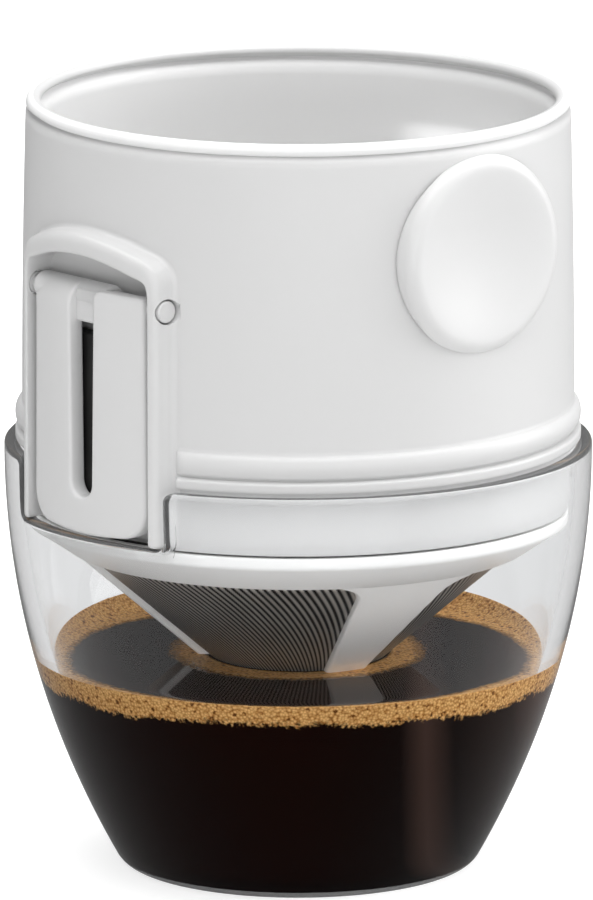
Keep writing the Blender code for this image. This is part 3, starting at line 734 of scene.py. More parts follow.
def housing_net(bearing):
    """The profile carried along the arch: each point is the outline less its distance along the normal,
    and is as far out as its height says between the body's surface and the housing's cylinder."""
    slope, crown_r, low = math.radians(18), 32.0, housing_low[2]
    rise = HOUSING_HALF * math.tan(slope) - crown_r * (1 / math.cos(slope) - 1)
    shoulder = housing_high[2] - rise
    outline = rounded_line([
        (-HOUSING_HALF, low, 0),
        (-HOUSING_HALF, shoulder, 4.0),
        (0, shoulder + HOUSING_HALF * math.tan(slope), crown_r),
        (HOUSING_HALF, shoulder, 4.0),
        (HOUSING_HALF, low, 0),
    ])
    whole, round_end = length(outline), 0.7
    ends = round_end * (1 - np.cos(np.linspace(0, math.pi / 2, 8)))
    places = np.hstack([ends, np.arange(1.0, whole - 1.0, 0.4), whole - ends[::-1]])
    path = along(outline, places)
    heading = along(outline, places + 0.1) - along(outline, places - 0.1)
    heading /= np.linalg.norm(heading, axis=1)[:, None]
    normal = np.stack([-heading[:, 1], heading[:, 0]], axis=-1)[:, None]
    width = (RAIL + (ARCH - RAIL) * smooth(shoulder - 5.0, shoulder + 1.5, path[:, 1]))[:, None]
    to_end = np.minimum(np.minimum(places, whole - places) / round_end, 1)
    shrink = round_end * (1 - np.sqrt(1 - (1 - to_end) ** 2))[:, None]
    fixed, share, high = frame_profile().T
    inset = fixed + share * width
    inset = width / 2 + (inset - width / 2) * (width - 1.6 * shrink) / width
    high = high * (1 - shrink / 2.85 * 0.8)
    place = path[:, None] - normal * inset[..., None]
    side, height = place[..., 0], place[..., 1]
    body_out, face_out = skin(side, height), on_round(HOUSING_R, side)
    out = body_out + (face_out - body_out) * high
    deep = np.arange(len(share)) >= len(share) - 1
    out = np.where(deep, POCKET_N - 0.9, out)
    return net(facing(bearing, out, side, height))


def rod_net(bearing, start, end, radius, edge=0.3, columns=48):
    """A round bar along the pin's axis, with quarter-round edges: the radius is less by the edge at its
    ends, and grows back along a quarter circle."""
    turn = np.linspace(0, math.pi / 2, 7)
    low = np.stack([radius - edge * (1 - np.sin(turn)), start + edge * (1 - np.cos(turn))], axis=-1)
    high = np.stack([low[::-1, 0], end - (low[::-1, 1] - start)], axis=-1)
    middle = np.linspace(start + edge, end - edge, 12)[1:-1]
    outline = np.vstack([low, np.stack([np.full(10, radius), middle], -1), high])
    angle = np.arange(columns)[None] * 2 * np.pi / columns
    r, t = outline[:, :1], outline[:, 1:]
    return net(facing(bearing, pin_n + r * np.cos(angle), t, pin_z + r * np.sin(angle)))


def cut(made, cutter_net):
    """Cuts a shape out of a piece with a Boolean modifier and applies it, keeping new edges crisp."""
    cutter = bpy.data.objects.new("cutter", mesh_of("cutter", [cutter_net]))
    bpy.context.scene.collection.objects.link(cutter)
    boolean = made.modifiers.new("cut", "BOOLEAN")
    boolean.operation = "DIFFERENCE"
    boolean.object = cutter
    bpy.context.view_layer.update()
    done = bpy.data.meshes.new_from_object(made.evaluated_get(bpy.context.evaluated_depsgraph_get()))
    made.modifiers.clear()
    old, made.data = made.data, done
    bpy.data.meshes.remove(old)
    bpy.data.objects.remove(cutter)
    done.set_sharp_from_angle(angle=math.radians(40))


for side_name, bearing in SIDES.items():
    housing = piece(f"housing_frame_{side_name}", [housing_net(bearing)], housing_white, "dripper",
                    [f"housing_{side_name}"])
    cut(housing, rod_net(bearing, -20, 20, HOLE_R))

# %% [markdown]
# ## The pins
#
# One stepped pin holds each arm. Its slim shaft runs through the arm, and a wider head fills the hole in
# each rail, a hair below the surface. The gap round the head shows as a thin dark crescent.

# %% Pins
HEAD_R, SHAFT_R = 1.6, 1.2
HEAD_OUT = HOUSING_HALF + 0.25
HEAD_IN = HOUSING_HALF - RAIL + 0.2

for side_name, bearing in SIDES.items():
    nets = [
        rod_net(bearing, -HEAD_OUT, -HEAD_IN, HEAD_R, edge=0.25),
        rod_net(bearing, -HEAD_IN - 0.1, HEAD_IN + 0.1, SHAFT_R, edge=0.05),
        rod_net(bearing, HEAD_IN, HEAD_OUT, HEAD_R, edge=0.25),
    ]
    piece(f"hinge_pin_{side_name}", nets, white_plastic(f"satin_white_pin_{side_name}", WHITE, 0.28),
          "dripper", [f"arm_pin_{side_name}"])

# %% [markdown]
# ## The two arms
#
# Each arm is a curved plate with a slot that is open at its top, so it is shaped like a long U. At its
# top the two prongs meet the pin: the one on the left flows into a round barrel, and the one on the
# right ends square with a lug behind it. A short web closes the slot's top from behind. The plate could
# be a flat outline bent with a modifier, but its edges need an even rounding all the way round the slot,
# so a rounded section is carried along the U instead, from one prong's top to the other's.

# %% The rounded section and the U that it follows
ARM_R, ARM_THICK = 42.2, 2.8
ARM_TOP, ARM_LOW = 91.7, 55.3
TOP_HALF, LOW_HALF = 11.9, 12.3
SLOT_TOP_HALF, SLOT_LOW_HALF = 2.65, 2.2
SLOT_END = 63.0  # the height of the centre of the slot's round end
BARREL_R, LUG_R = 2.1, 1.4
SHOULDER = 88.6  # where the left prong starts to roll over to the barrel


def rounded_section(corner_steps=5, face_steps=9):
    """A rounded rectangle as four rows: each point's arc centre, 0 or 1 across and 0 or 1 deep, and the
    direction from that centre. Every width, depth and rounding shares this one list."""
    corners = [(1, 1), (0, 1), (0, 0), (1, 0)]
    parts = []
    for i, (x, y) in enumerate(corners):
        angle = np.linspace(0, math.pi / 2, corner_steps) + i * math.pi / 2
        parts.append(np.stack([np.full(corner_steps, x), np.full(corner_steps, y),
                               np.cos(angle), np.sin(angle)]))
        next_x, next_y = corners[(i + 1) % 4]
        share = np.linspace(0, 1, face_steps + 2)[1:-1] if i % 2 == 0 else np.array([0.5])
        end_angle = (i + 1) * math.pi / 2
        parts.append(np.stack([x + (next_x - x) * share, y + (next_y - y) * share,
                               np.full(len(share), math.cos(end_angle)),
                               np.full(len(share), math.sin(end_angle))]))
    return np.hstack(parts)


def arm_stations():
    """Matching points on the arm's outer outline and its slot's outline, from the left prong's top, down,
    round the slot's end and up the right prong. The lower ones lie on rays from the slot's end."""
    barrel_top = pin_z + BARREL_R
    left_z = np.hstack([SHOULDER + (barrel_top - SHOULDER) * np.sin(np.linspace(math.pi / 2 - 0.03, 0, 14)),
                        np.linspace(SHOULDER, SLOT_END, 26)[1:-1]])
    right_z = np.hstack([np.linspace(SLOT_END, ARM_TOP - 1.2, 26)[1:-1],
                         ARM_TOP - 1.2 * (1 - np.sin(np.linspace(0, math.pi / 2, 9)))])
    slope = 1.0 / LOW_HALF
    low_side = ARM_LOW - 0.2 + slope * LOW_HALF
    outline = rounded_line([
        (-half_width(SLOT_END), SLOT_END, 0),
        (-LOW_HALF, low_side, 4.5),
        (0, ARM_LOW - 0.2, 60.0),
        (LOW_HALF, low_side, 4.5),
        (half_width(SLOT_END), SLOT_END, 0),
    ])
    outer_low = along(outline, np.linspace(0, length(outline), 90))
    ray = outer_low - np.array([0, SLOT_END])
    inner_low = np.array([0, SLOT_END]) + ray / np.linalg.norm(ray, axis=1)[:, None] * SLOT_LOW_HALF
    outer = np.vstack([np.stack([-half_width(left_z), left_z], -1), outer_low,
                       np.stack([half_width(right_z), right_z], -1)])
    inner = np.vstack([np.stack([-slot_half(left_z), left_z], -1), inner_low,
                       np.stack([slot_half(right_z), right_z], -1)])
    return outer, inner, len(left_z)


def half_width(height):
    share = (height - ARM_LOW) / (ARM_TOP - ARM_LOW)
    return LOW_HALF + (TOP_HALF - LOW_HALF) * share


def slot_half(height):
    share = np.clip((height - SLOT_END) / (ARM_TOP - SLOT_END), 0, 1)
    return SLOT_LOW_HALF + (SLOT_TOP_HALF - SLOT_LOW_HALF) * share


def arm_front(side, height, left):
    """The plate's outer face. On the left prong it rolls over to the barrel's crest as a quarter of an
    ellipse."""
    face = on_round(ARM_R, side)
    lift = np.clip((height - SHOULDER) / (pin_z + BARREL_R - SHOULDER), 0, 1)
    rolled = pin_n + (face - pin_n) * np.sqrt(1 - lift ** 2)
    return np.where(left, rolled, face)


def arm_back(side, height, left):
    """The plate's inner face. On the left prong it bulges round the back of the barrel."""
    face = on_round(ARM_R - ARM_THICK, side)
    barrel_low = pin_z - BARREL_R
    round_back = pin_n - np.sqrt(np.clip(BARREL_R ** 2 - (height - pin_z) ** 2, 0, None))
    blend = pin_n + (face - pin_n) * smooth(barrel_low, barrel_low - 1.2, height)
    return np.where(left, np.where(height > barrel_low, round_back, blend), face)


def arm_net(bearing):
    outer, inner, left_rows = arm_stations()
    reach = inner - outer
    width = np.linalg.norm(reach, axis=1)[:, None]
    reach = reach / width
    rows = len(outer)
    left = (np.arange(rows) < left_rows)[:, None]
    x, y, c, s = rounded_section()
    middle = outer + reach * width / 2
    depth = arm_front(middle[:, :1], middle[:, 1:], left) - arm_back(middle[:, :1], middle[:, 1:], left)
    to_top = np.clip((ARM_TOP - middle[:, 1:]) / 1.2, 0, 1)
    shrink = np.where(left, 0.0, 1 - np.sqrt(1 - (1 - to_top) ** 2))
    edge = np.minimum(0.5, depth * 0.3)
    place = edge + x * (width - 2 * edge) + edge * c
    deep = edge + y * (depth - 2 * edge) + edge * s
    place = width / 2 + (place - width / 2) * (1 - 2 * 1.0 * shrink / width)
    deep = depth / 2 + (deep - depth / 2) * (1 - 2 * 0.7 * shrink / depth)
    spot = outer[:, None] + reach[:, None] * place[..., None]
    side, height = spot[..., 0], spot[..., 1]
    front, back = arm_front(side, height, left), arm_back(side, height, left)
    out = back + (front - back) * deep / depth
    return net(facing(bearing, out, side, height))


# %% The arms, with barrel, lug and web
def block_net(bearing, side_half, low, high, inner_out, outer_out, edge=0.4):
    """A small rounded block: the rounded section, shrunk along a quarter circle at its two ends."""
    x, y, c, s = rounded_section()
    turn = np.linspace(0, math.pi / 2, 6)
    z = np.hstack([low + edge * (1 - np.cos(turn)), high - edge * (1 - np.cos(turn[::-1]))])[:, None]
    shrink = np.hstack([edge * (1 - np.sin(turn)), edge * (1 - np.sin(turn[::-1]))])[:, None]
    side = -side_half + edge + x * 2 * (side_half - edge) + (edge - shrink) * c
    out = inner_out + edge + y * (outer_out - inner_out - 2 * edge) + (edge - shrink) * s
    return net(facing(bearing, out, side, z))


for side_name, bearing in SIDES.items():
    nets = [
        arm_net(bearing),
        rod_net(bearing, -TOP_HALF - 0.5, SLOT_TOP_HALF + 0.9, BARREL_R, edge=0.7),
        rod_net(bearing, SLOT_TOP_HALF + 0.5, TOP_HALF - 0.3, LUG_R, edge=0.3),
        block_net(bearing, 3.4, 86.4, pin_z + 1.2, 36.9, 40.6),
    ]
    piece(f"fold_out_arm_{side_name}", nets, arm_white, f"arm_{side_name}", [f"arm_{side_name}"])

# %% [markdown]
# ## The arm pads
#
# Each arm carries a black silicone pad on its inner face. With the arms folded down it shows only
# through the slot, as the dark strip behind the prongs. Silicone is dull and a little grainy, and holds
# fine dust, so its colour varies slightly.

# %% Black silicone
def silicone(name):
    made, tree, shader = new_material(name)
    place = tree.nodes.new("ShaderNodeTexCoord").outputs["Object"]
    grain = node(tree, "ShaderNodeTexNoise", {"Vector": place}, Scale=1800.0, Detail=3.0)
    dust = node(tree, "ShaderNodeTexNoise", {"Vector": place}, Scale=120.0, Detail=5.0)
    ramp = node(tree, "ShaderNodeValToRGB", {"Fac": dust.outputs["Fac"]})
    ramp.color_ramp.elements[0].position = 0.4
    ramp.color_ramp.elements[0].color = (0.010, 0.010, 0.010, 1)
    ramp.color_ramp.elements[1].position = 0.8
    ramp.color_ramp.elements[1].color = (0.022, 0.021, 0.020, 1)
    tree.links.new(ramp.outputs["Color"], shader.inputs["Base Color"])
    tree.links.new(scaled(tree, dust.outputs["Fac"], 0.5, 0.62), shader.inputs["Roughness"])
    bump = node(tree, "ShaderNodeBump", {"Height": grain.outputs["Fac"]}, Strength=0.15, Distance=0.0001)
    tree.links.new(bump.outputs["Normal"], shader.inputs["Normal"])
    return made


def tile_net(bearing, half, low, high, corner, edge, inner_out, outer_r):
    """A pad with a flat back and a front on a cylinder. Rows run from the middle of the back, over the
    edge and to the middle of the front, each the rounded outline drawn in towards its own middle."""
    outline = rounded_line([(0, low, 0), (half, low, corner), (half, high, corner), (-half, high, corner),
                            (-half, low, corner), (0, low, 0)], step=0.3)
    columns = 140
    ring = along(outline, np.arange(columns) * length(outline) / columns)
    ahead, behind = np.roll(ring, -1, axis=0), np.roll(ring, 1, axis=0)
    heading = (ahead - behind) / np.linalg.norm(ahead - behind, axis=1)[:, None]
    inward = np.stack([-heading[:, 1], heading[:, 0]], axis=-1)
    middle = np.array([0, (low + high) / 2])
    turn = np.linspace(0, math.pi / 2, 6)
    ends = np.full(6, edge)
    inset = np.hstack([ends, edge * (1 - np.sin(turn)), edge * (1 - np.cos(turn)), ends])
    scale = np.hstack([np.linspace(0.05, 0.9, 6), np.ones(12), np.linspace(0.9, 0.05, 6)])
    depth = np.hstack([np.zeros(6), edge * (1 - np.cos(turn)), np.full(6, -1.0), np.full(6, -1.0)])
    spot = middle + (ring[None] + inward[None] * inset[:, None, None] - middle) * scale[:, None, None]
    side, height = spot[..., 0], spot[..., 1]
    face = on_round(outer_r, side)
    from_front = np.hstack([np.zeros(12), edge * (1 - np.sin(turn)), np.zeros(6)])[:, None]
    out = np.where(depth[:, None] >= 0, inner_out + depth[:, None], face - from_front)
    return net(facing(bearing, out, side, height))


for side_name, bearing in SIDES.items():
    pad_half = pad_high[1]
    pad = tile_net(bearing, pad_half, pad_low[2], pad_high[2], 2.0, 0.5, pad_low[0], ARM_R - ARM_THICK - 0.3)
    piece(f"silicone_pad_{side_name}", [pad], silicone(f"black_silicone_pad_{side_name}"),
          f"arm_{side_name}", [f"arm_pad_{side_name}"])

# %% [markdown]
# ## The finger grips
#
# A round dish on the front and one on the back let finger and thumb lift the dripper while it is hot.
# Each is a turned shape lying on its side: a shallow dish, a full rounded rim and a plain side wall that
# meets the body's curve. A fine shadow groove round its foot marks it as a separate part.

# %% Grips
GRIPS = {"front": 270.0, "back": 90.0}
CREST_N = -grip_low[1]
GRIP_R = grip_high[0]
GRIP_Z = (grip_low[2] + grip_high[2]) / 2
CREST_R, DISH, RIM_ROUND = 12.7, 1.6, 1.9


def grip_net(bearing):
    """The dish's depth falls off as one less the squared share of the crest's radius, to the power 1.5.
    The rim is a quarter circle, and below it the radius holds down to a narrow groove at the body."""
    angle = np.arange(180)[None] * 2 * np.pi / 180
    r_dish = np.hstack([[0.15], np.linspace(0.8, CREST_R, 36)])[:, None]
    n_dish = CREST_N - DISH * (1 - (r_dish / CREST_R) ** 2) ** 1.5
    turn = np.linspace(0, math.pi / 2, 14)[1:, None]
    r_rim = CREST_R + (GRIP_R - CREST_R) * np.sin(turn)
    n_rim = CREST_N - RIM_ROUND * (1 - np.cos(turn))
    r_side = np.array([0.0, 0.0, -0.06, -0.25, -0.75, -0.95, -0.95])[:, None] + GRIP_R
    above = np.array([0.9, 0.42, 0.34, 0.30, 0.28, 0.2, -0.6])[:, None]
    side = np.vstack([r_dish, r_rim, r_side]) * np.cos(angle)
    height = GRIP_Z + np.vstack([r_dish, r_rim, r_side]) * np.sin(angle)
    surface = skin(side[-7:], height[-7:])
    foot = np.minimum(surface + above, n_rim[-1])
    upper = np.vstack([n_dish, n_rim]) + 0 * angle
    return net(facing(bearing, np.vstack([upper, foot]), side, height))


for grip_name, bearing in GRIPS.items():
    piece(f"finger_grip_{grip_name}", [grip_net(bearing)], grip_white, "dripper",
          [f"grip_disc_{grip_name}"])

# %% [markdown]
# ## The filter's frame
#
# The frame is a white cone with three big windows. It could be one turned cone with three holes cut in
# it, but the holes' rims would stay sharp. It is built the way it reads instead: a collar and a foot,
# each a turned ring, and three ribs between them, each a rounded section that runs down the cone's slope
# and flares out in a fillet where it meets the collar and the foot.

# %% The cone's slope
CONE_TOP_Z, CONE_TOP_R, CONE_SLOPE = 48.6, 34.4, 1.132
CONE_WALL = 1.5
UPSTAND_R, UPSTAND_TOP = 33.7, frame_high[2]
COLLAR_R, COLLAR_LOW, COLLAR_TOP = frame_high[1], 52.8, SKIRT_LOW - 0.3
WINDOW_LOW = 27.5
FOOT_LOW = frame_low[2]
FOOT_TOP = FOOT_LOW + 1.9
RIB_BEARINGS = [257.2, 17.2, 137.2]


def cone_r(height, inset=0.0):
    """The cone's radius at a height, less an inset square to its surface."""
    return CONE_TOP_R - CONE_SLOPE * (CONE_TOP_Z - height) - inset * math.hypot(1, CONE_SLOPE)


def ring_of(corners, columns=220):
    """A closed ring turned from (radius, height, rounding) corners."""
    start = np.array([(corners[0][0] + corners[-1][0]) / 2, (corners[0][1] + corners[-1][1]) / 2])
    line = rounded_line([(*start, 0)] + corners + [(*start, 0)], step=0.15)[:-1]
    return net(turned(line, columns), ends="ring")


def rib_net(bearing):
    """Rows from below the window to above it. The half width is a constant angle times the radius, plus
    a quarter-circle fillet at the window's top and bottom: f less the root of f squared less the square
    of how far the row is into the fillet."""
    height = np.linspace(WINDOW_LOW - 1.4, CONE_TOP_Z + 1.6, 70)[:, None]
    slant = math.hypot(1, CONE_SLOPE)
    top_gap = (CONE_TOP_Z - height) * slant
    low_gap = (height - WINDOW_LOW) * slant
    half = cone_r(height) * math.radians(12.6)
    for gap, fillet in ((top_gap, 4.5), (low_gap, 2.0)):
        into = np.clip(fillet - gap, 0, fillet * 0.96)
        half = half + fillet - np.sqrt(fillet ** 2 - into ** 2)
    x, y, c, s = rounded_section(corner_steps=6, face_steps=12)
    edge, depth = 0.45, CONE_WALL
    side = -half + edge + x * 2 * (half - edge) + edge * c
    deep = edge + y * (depth - 2 * edge) + edge * s
    angle = math.radians(bearing) + side / cone_r(height)
    radius = cone_r(height, depth - deep)
    return net(polar(radius, angle, height + 0 * side))


def lug_net(bearing):
    """A small block that reaches out from the upstand, for the body's ledge to hold."""
    return block_net(bearing, 4.1, 57.2, 58.8, UPSTAND_R - 0.6, 36.2, edge=0.25)


# %% The frame
inner_top_r = UPSTAND_R - CONE_WALL
inner_bend_z = CONE_TOP_Z - (cone_r(CONE_TOP_Z, CONE_WALL) - inner_top_r) / CONE_SLOPE
seal_groove = seal_low[2] - 0.3
collar = ring_of([
    (UPSTAND_R, UPSTAND_TOP, 0.5),
    (UPSTAND_R, COLLAR_TOP, 0.3),
    (37.0, COLLAR_TOP, 0.1),
    (37.0, seal_groove, 0.1),
    (38.6, seal_groove, 0.1),
    (38.6, COLLAR_TOP, 0.1),
    (COLLAR_R, COLLAR_TOP, 0.3),
    (COLLAR_R, COLLAR_LOW, 0.8),
    (cone_r(CONE_TOP_Z), CONE_TOP_Z, 0.45),
    (cone_r(CONE_TOP_Z) - 1.4, CONE_TOP_Z + 0.9, 0.3),
    (inner_top_r, inner_bend_z, 1.0),
    (inner_top_r, UPSTAND_TOP, 0.5),
])
foot = ring_of([
    (cone_r(WINDOW_LOW), WINDOW_LOW, 0.4),
    (cone_r(FOOT_TOP), FOOT_TOP, 0.6),
    (cone_r(FOOT_TOP), FOOT_LOW, 0.4),
    (4.0, FOOT_LOW, 0.2),
    (4.0, FOOT_LOW + 0.9, 0.2),
    (6.0, FOOT_LOW + 0.9, 0.1),
    (cone_r(26.3, CONE_WALL), 26.3, 0.3),
    (cone_r(WINDOW_LOW, CONE_WALL) + 0.1, WINDOW_LOW + 0.6, 0.4),
], columns=120)
nets = [collar, foot] + [rib_net(bearing) for bearing in RIB_BEARINGS] + [lug_net(b) for b in (75.0, 255.0)]
# painted light: the filter frame takes the lighter white
piece("filter_cone_frame", nets, frame_white_painted_light, "filter", ["filter_frame"])

# %% [markdown]
# ## The steel mesh
#
# The filter's cone and floor are fine woven steel, too fine to model wire by wire: what the eye sees is a
# dark sheet with a diagonal ridge where the wires of the twill line up. Each is a thin closed sheet. The
# ridges are a wave whose phase is a whole number of turns round the axis plus a share of the height, so
# they spiral down the cone and meet up again with no seam.

# %% Woven steel
def woven_steel(name, turns, climb, fine):
    """Ridges where the sine of turns times the angle plus climb times the height peaks, crossed by a
    finer wave in the other direction."""
    made, tree, shader = new_material(name)
    place = tree.nodes.new("ShaderNodeTexCoord").outputs["Object"]
    split = node(tree, "ShaderNodeSeparateXYZ", {"Vector": place})

    def maths(operation, first, second=None):
        made_node = tree.nodes.new("ShaderNodeMath")
        made_node.operation = operation
        for socket, value in zip(made_node.inputs, (first, second)):
            if isinstance(value, (int, float)):
                socket.default_value = value
            elif value is not None:
                tree.links.new(value, socket)
        return made_node.outputs[0]

    turn = maths("ARCTAN2", split.outputs["Y"], split.outputs["X"])

    def wave(count, rise):
        phase = maths("ADD", maths("MULTIPLY", turn, count), maths("MULTIPLY", split.outputs["Z"], rise))
        return maths("MULTIPLY", maths("ADD", maths("SINE", phase), 1.0), 0.5)

    ridge = wave(turns, climb)
    cross = wave(-fine, climb * 2.6)
    both = maths("ADD", maths("MULTIPLY", ridge, 0.85), maths("MULTIPLY", cross, 0.15))
    wear = node(tree, "ShaderNodeTexNoise", {"Vector": place}, Scale=150.0, Detail=3.0)
    mixed = maths("ADD", both, maths("MULTIPLY", wear.outputs["Fac"], 0.3))
    ramp = node(tree, "ShaderNodeValToRGB", {"Fac": mixed})
    ramp.color_ramp.elements[0].position = 0.35
    ramp.color_ramp.elements[0].color = (0.004, 0.004, 0.004, 1)
    ramp.color_ramp.elements[1].position = 0.95
    ramp.color_ramp.elements[1].color = (0.5, 0.48, 0.45, 1)
    tree.links.new(ramp.outputs["Color"], shader.inputs["Base Color"])
    tree.links.new(scaled(tree, wear.outputs["Fac"], 0.38, 0.5), shader.inputs["Roughness"])
    shader.inputs["Metallic"].default_value = 0.6
    bump = node(tree, "ShaderNodeBump", {"Height": both}, Strength=0.35, Distance=0.0002)
    tree.links.new(bump.outputs["Normal"], shader.inputs["Normal"])
    return made


STEEL = 0.4
mesh_out = CONE_WALL - 0.35
hem_r = cone_high[0]
hem_z = cone_high[2]
bend_z = CONE_TOP_Z - (cone_r(CONE_TOP_Z, mesh_out) - hem_r) / CONE_SLOPE
tip_z = cone_low[2]
cone_sheet = ring_of([
    (hem_r, hem_z, 0.15),
    (hem_r, bend_z, 1.2),
    (cone_r(tip_z, mesh_out), tip_z, 0.15),
    (cone_r(tip_z, mesh_out + STEEL), tip_z, 0.15),
    (hem_r - STEEL, bend_z + 0.1, 0.8),
    (hem_r - STEEL, hem_z, 0.15),
], columns=240)
piece("steel_mesh_cone", [cone_sheet], woven_steel("woven_steel_cone", 170, 3400.0, 620),
      "filter", ["mesh_cone"])
floor_r = floor_high[0]
floor_line = rounded_line([
    (0.1, floor_low[2], 0),
    (floor_r, floor_low[2], 0.15),
    (floor_r, floor_high[2], 0.15),
    (0.1, floor_high[2], 0),
])
piece("steel_mesh_floor", [net(turned(floor_line, 96))], woven_steel("woven_steel_floor", 60, 6300.0, 120),
      "filter", ["mesh_floor"])

# %% [markdown]
# ## The seal
#
# A thin silicone ring sits in a groove of the frame's collar and closes the joint to the body.

# %% Seal
seal_in = 37.2
seal = ring_of([
    (seal_high[0], seal_high[2], 0.25),
    (seal_high[0], seal_low[2], 0.25),
    (seal_in, seal_low[2], 0.25),
    (seal_in, seal_high[2], 0.25),
])
piece("filter_seal_ring", [seal], silicone("black_silicone_seal"), "filter", ["filter_seal"])

# %% [markdown]
# ## Coffee in the cup
#
# The cup is shown with fresh coffee in it. The coffee is a prop, not a part of the coffee maker, so it is
# staged like the floor. Its sides reach a hair into the cup's wall: with no air gap, the wall shows it
# at full width, as a wet wall does. It is nearly black, with painted light on it: it grows browner
# towards the right, where the key lamp stands, and a lighter upright band a little right of the middle
# is a painted highlight. Golden foam lines the wall and gathers round the filter.

# %% Coffee
COFFEE_Z = 31.5
FOAM_DROP = 3.0
away_x, away_y = -direction(VIEW_AZIMUTH, 0)[:2]


def coffee_net():
    """The cup's inner outline, then over the surface: the level rises to the wall by a meniscus that
    falls off with the squared distance from it, and stands higher at the back."""
    angle = np.arange(240)[None] * 2 * np.pi / 240
    back = smooth(-0.2, 0.9, np.cos(angle) * away_x + np.sin(angle) * away_y)
    edge_z = COFFEE_Z + 0.5 + 2.0 * back
    wall_z = np.linspace(BEND_Z, COFFEE_Z - 0.2, 30)[:, None] + 0 * angle
    climb = np.linspace(0, 1, 6)[1:, None]
    wall_z = np.vstack([wall_z, COFFEE_Z - 0.2 + (edge_z - COFFEE_Z + 0.2) * climb])
    wall = polar(cup_radius(wall_z, True) + 0.12, angle, wall_z)
    floor_r = FOOT_R - CUP_WALL
    low = bezier((floor_r - 7.0, FLOOR_Z - 0.12), (floor_r - 0.5, FLOOR_Z - 0.12),
                 (cup_radius(BEND_Z, True) + 0.12, BEND_Z), 14)[:-1]
    low = np.vstack([[(0.3, FLOOR_Z - 0.12), (9, FLOOR_Z - 0.12)], low])
    wall_r = cup_radius(edge_z, True)
    share = np.array([0.0, 0.3, 0.7, 1.2, 1.8, 2.6, 3.6, 5, 7, 10, 14, 19, 24, 29, 34, 37])[:, None]
    surface_r = wall_r - share
    surface_z = COFFEE_Z + (edge_z - COFFEE_Z) * np.clip(1 - share / 4.0, 0, 1) ** 2
    surface = polar(surface_r, angle, surface_z)
    return net(np.vstack([polar(low[:, :1], angle, low[:, 1:]), wall, surface]))


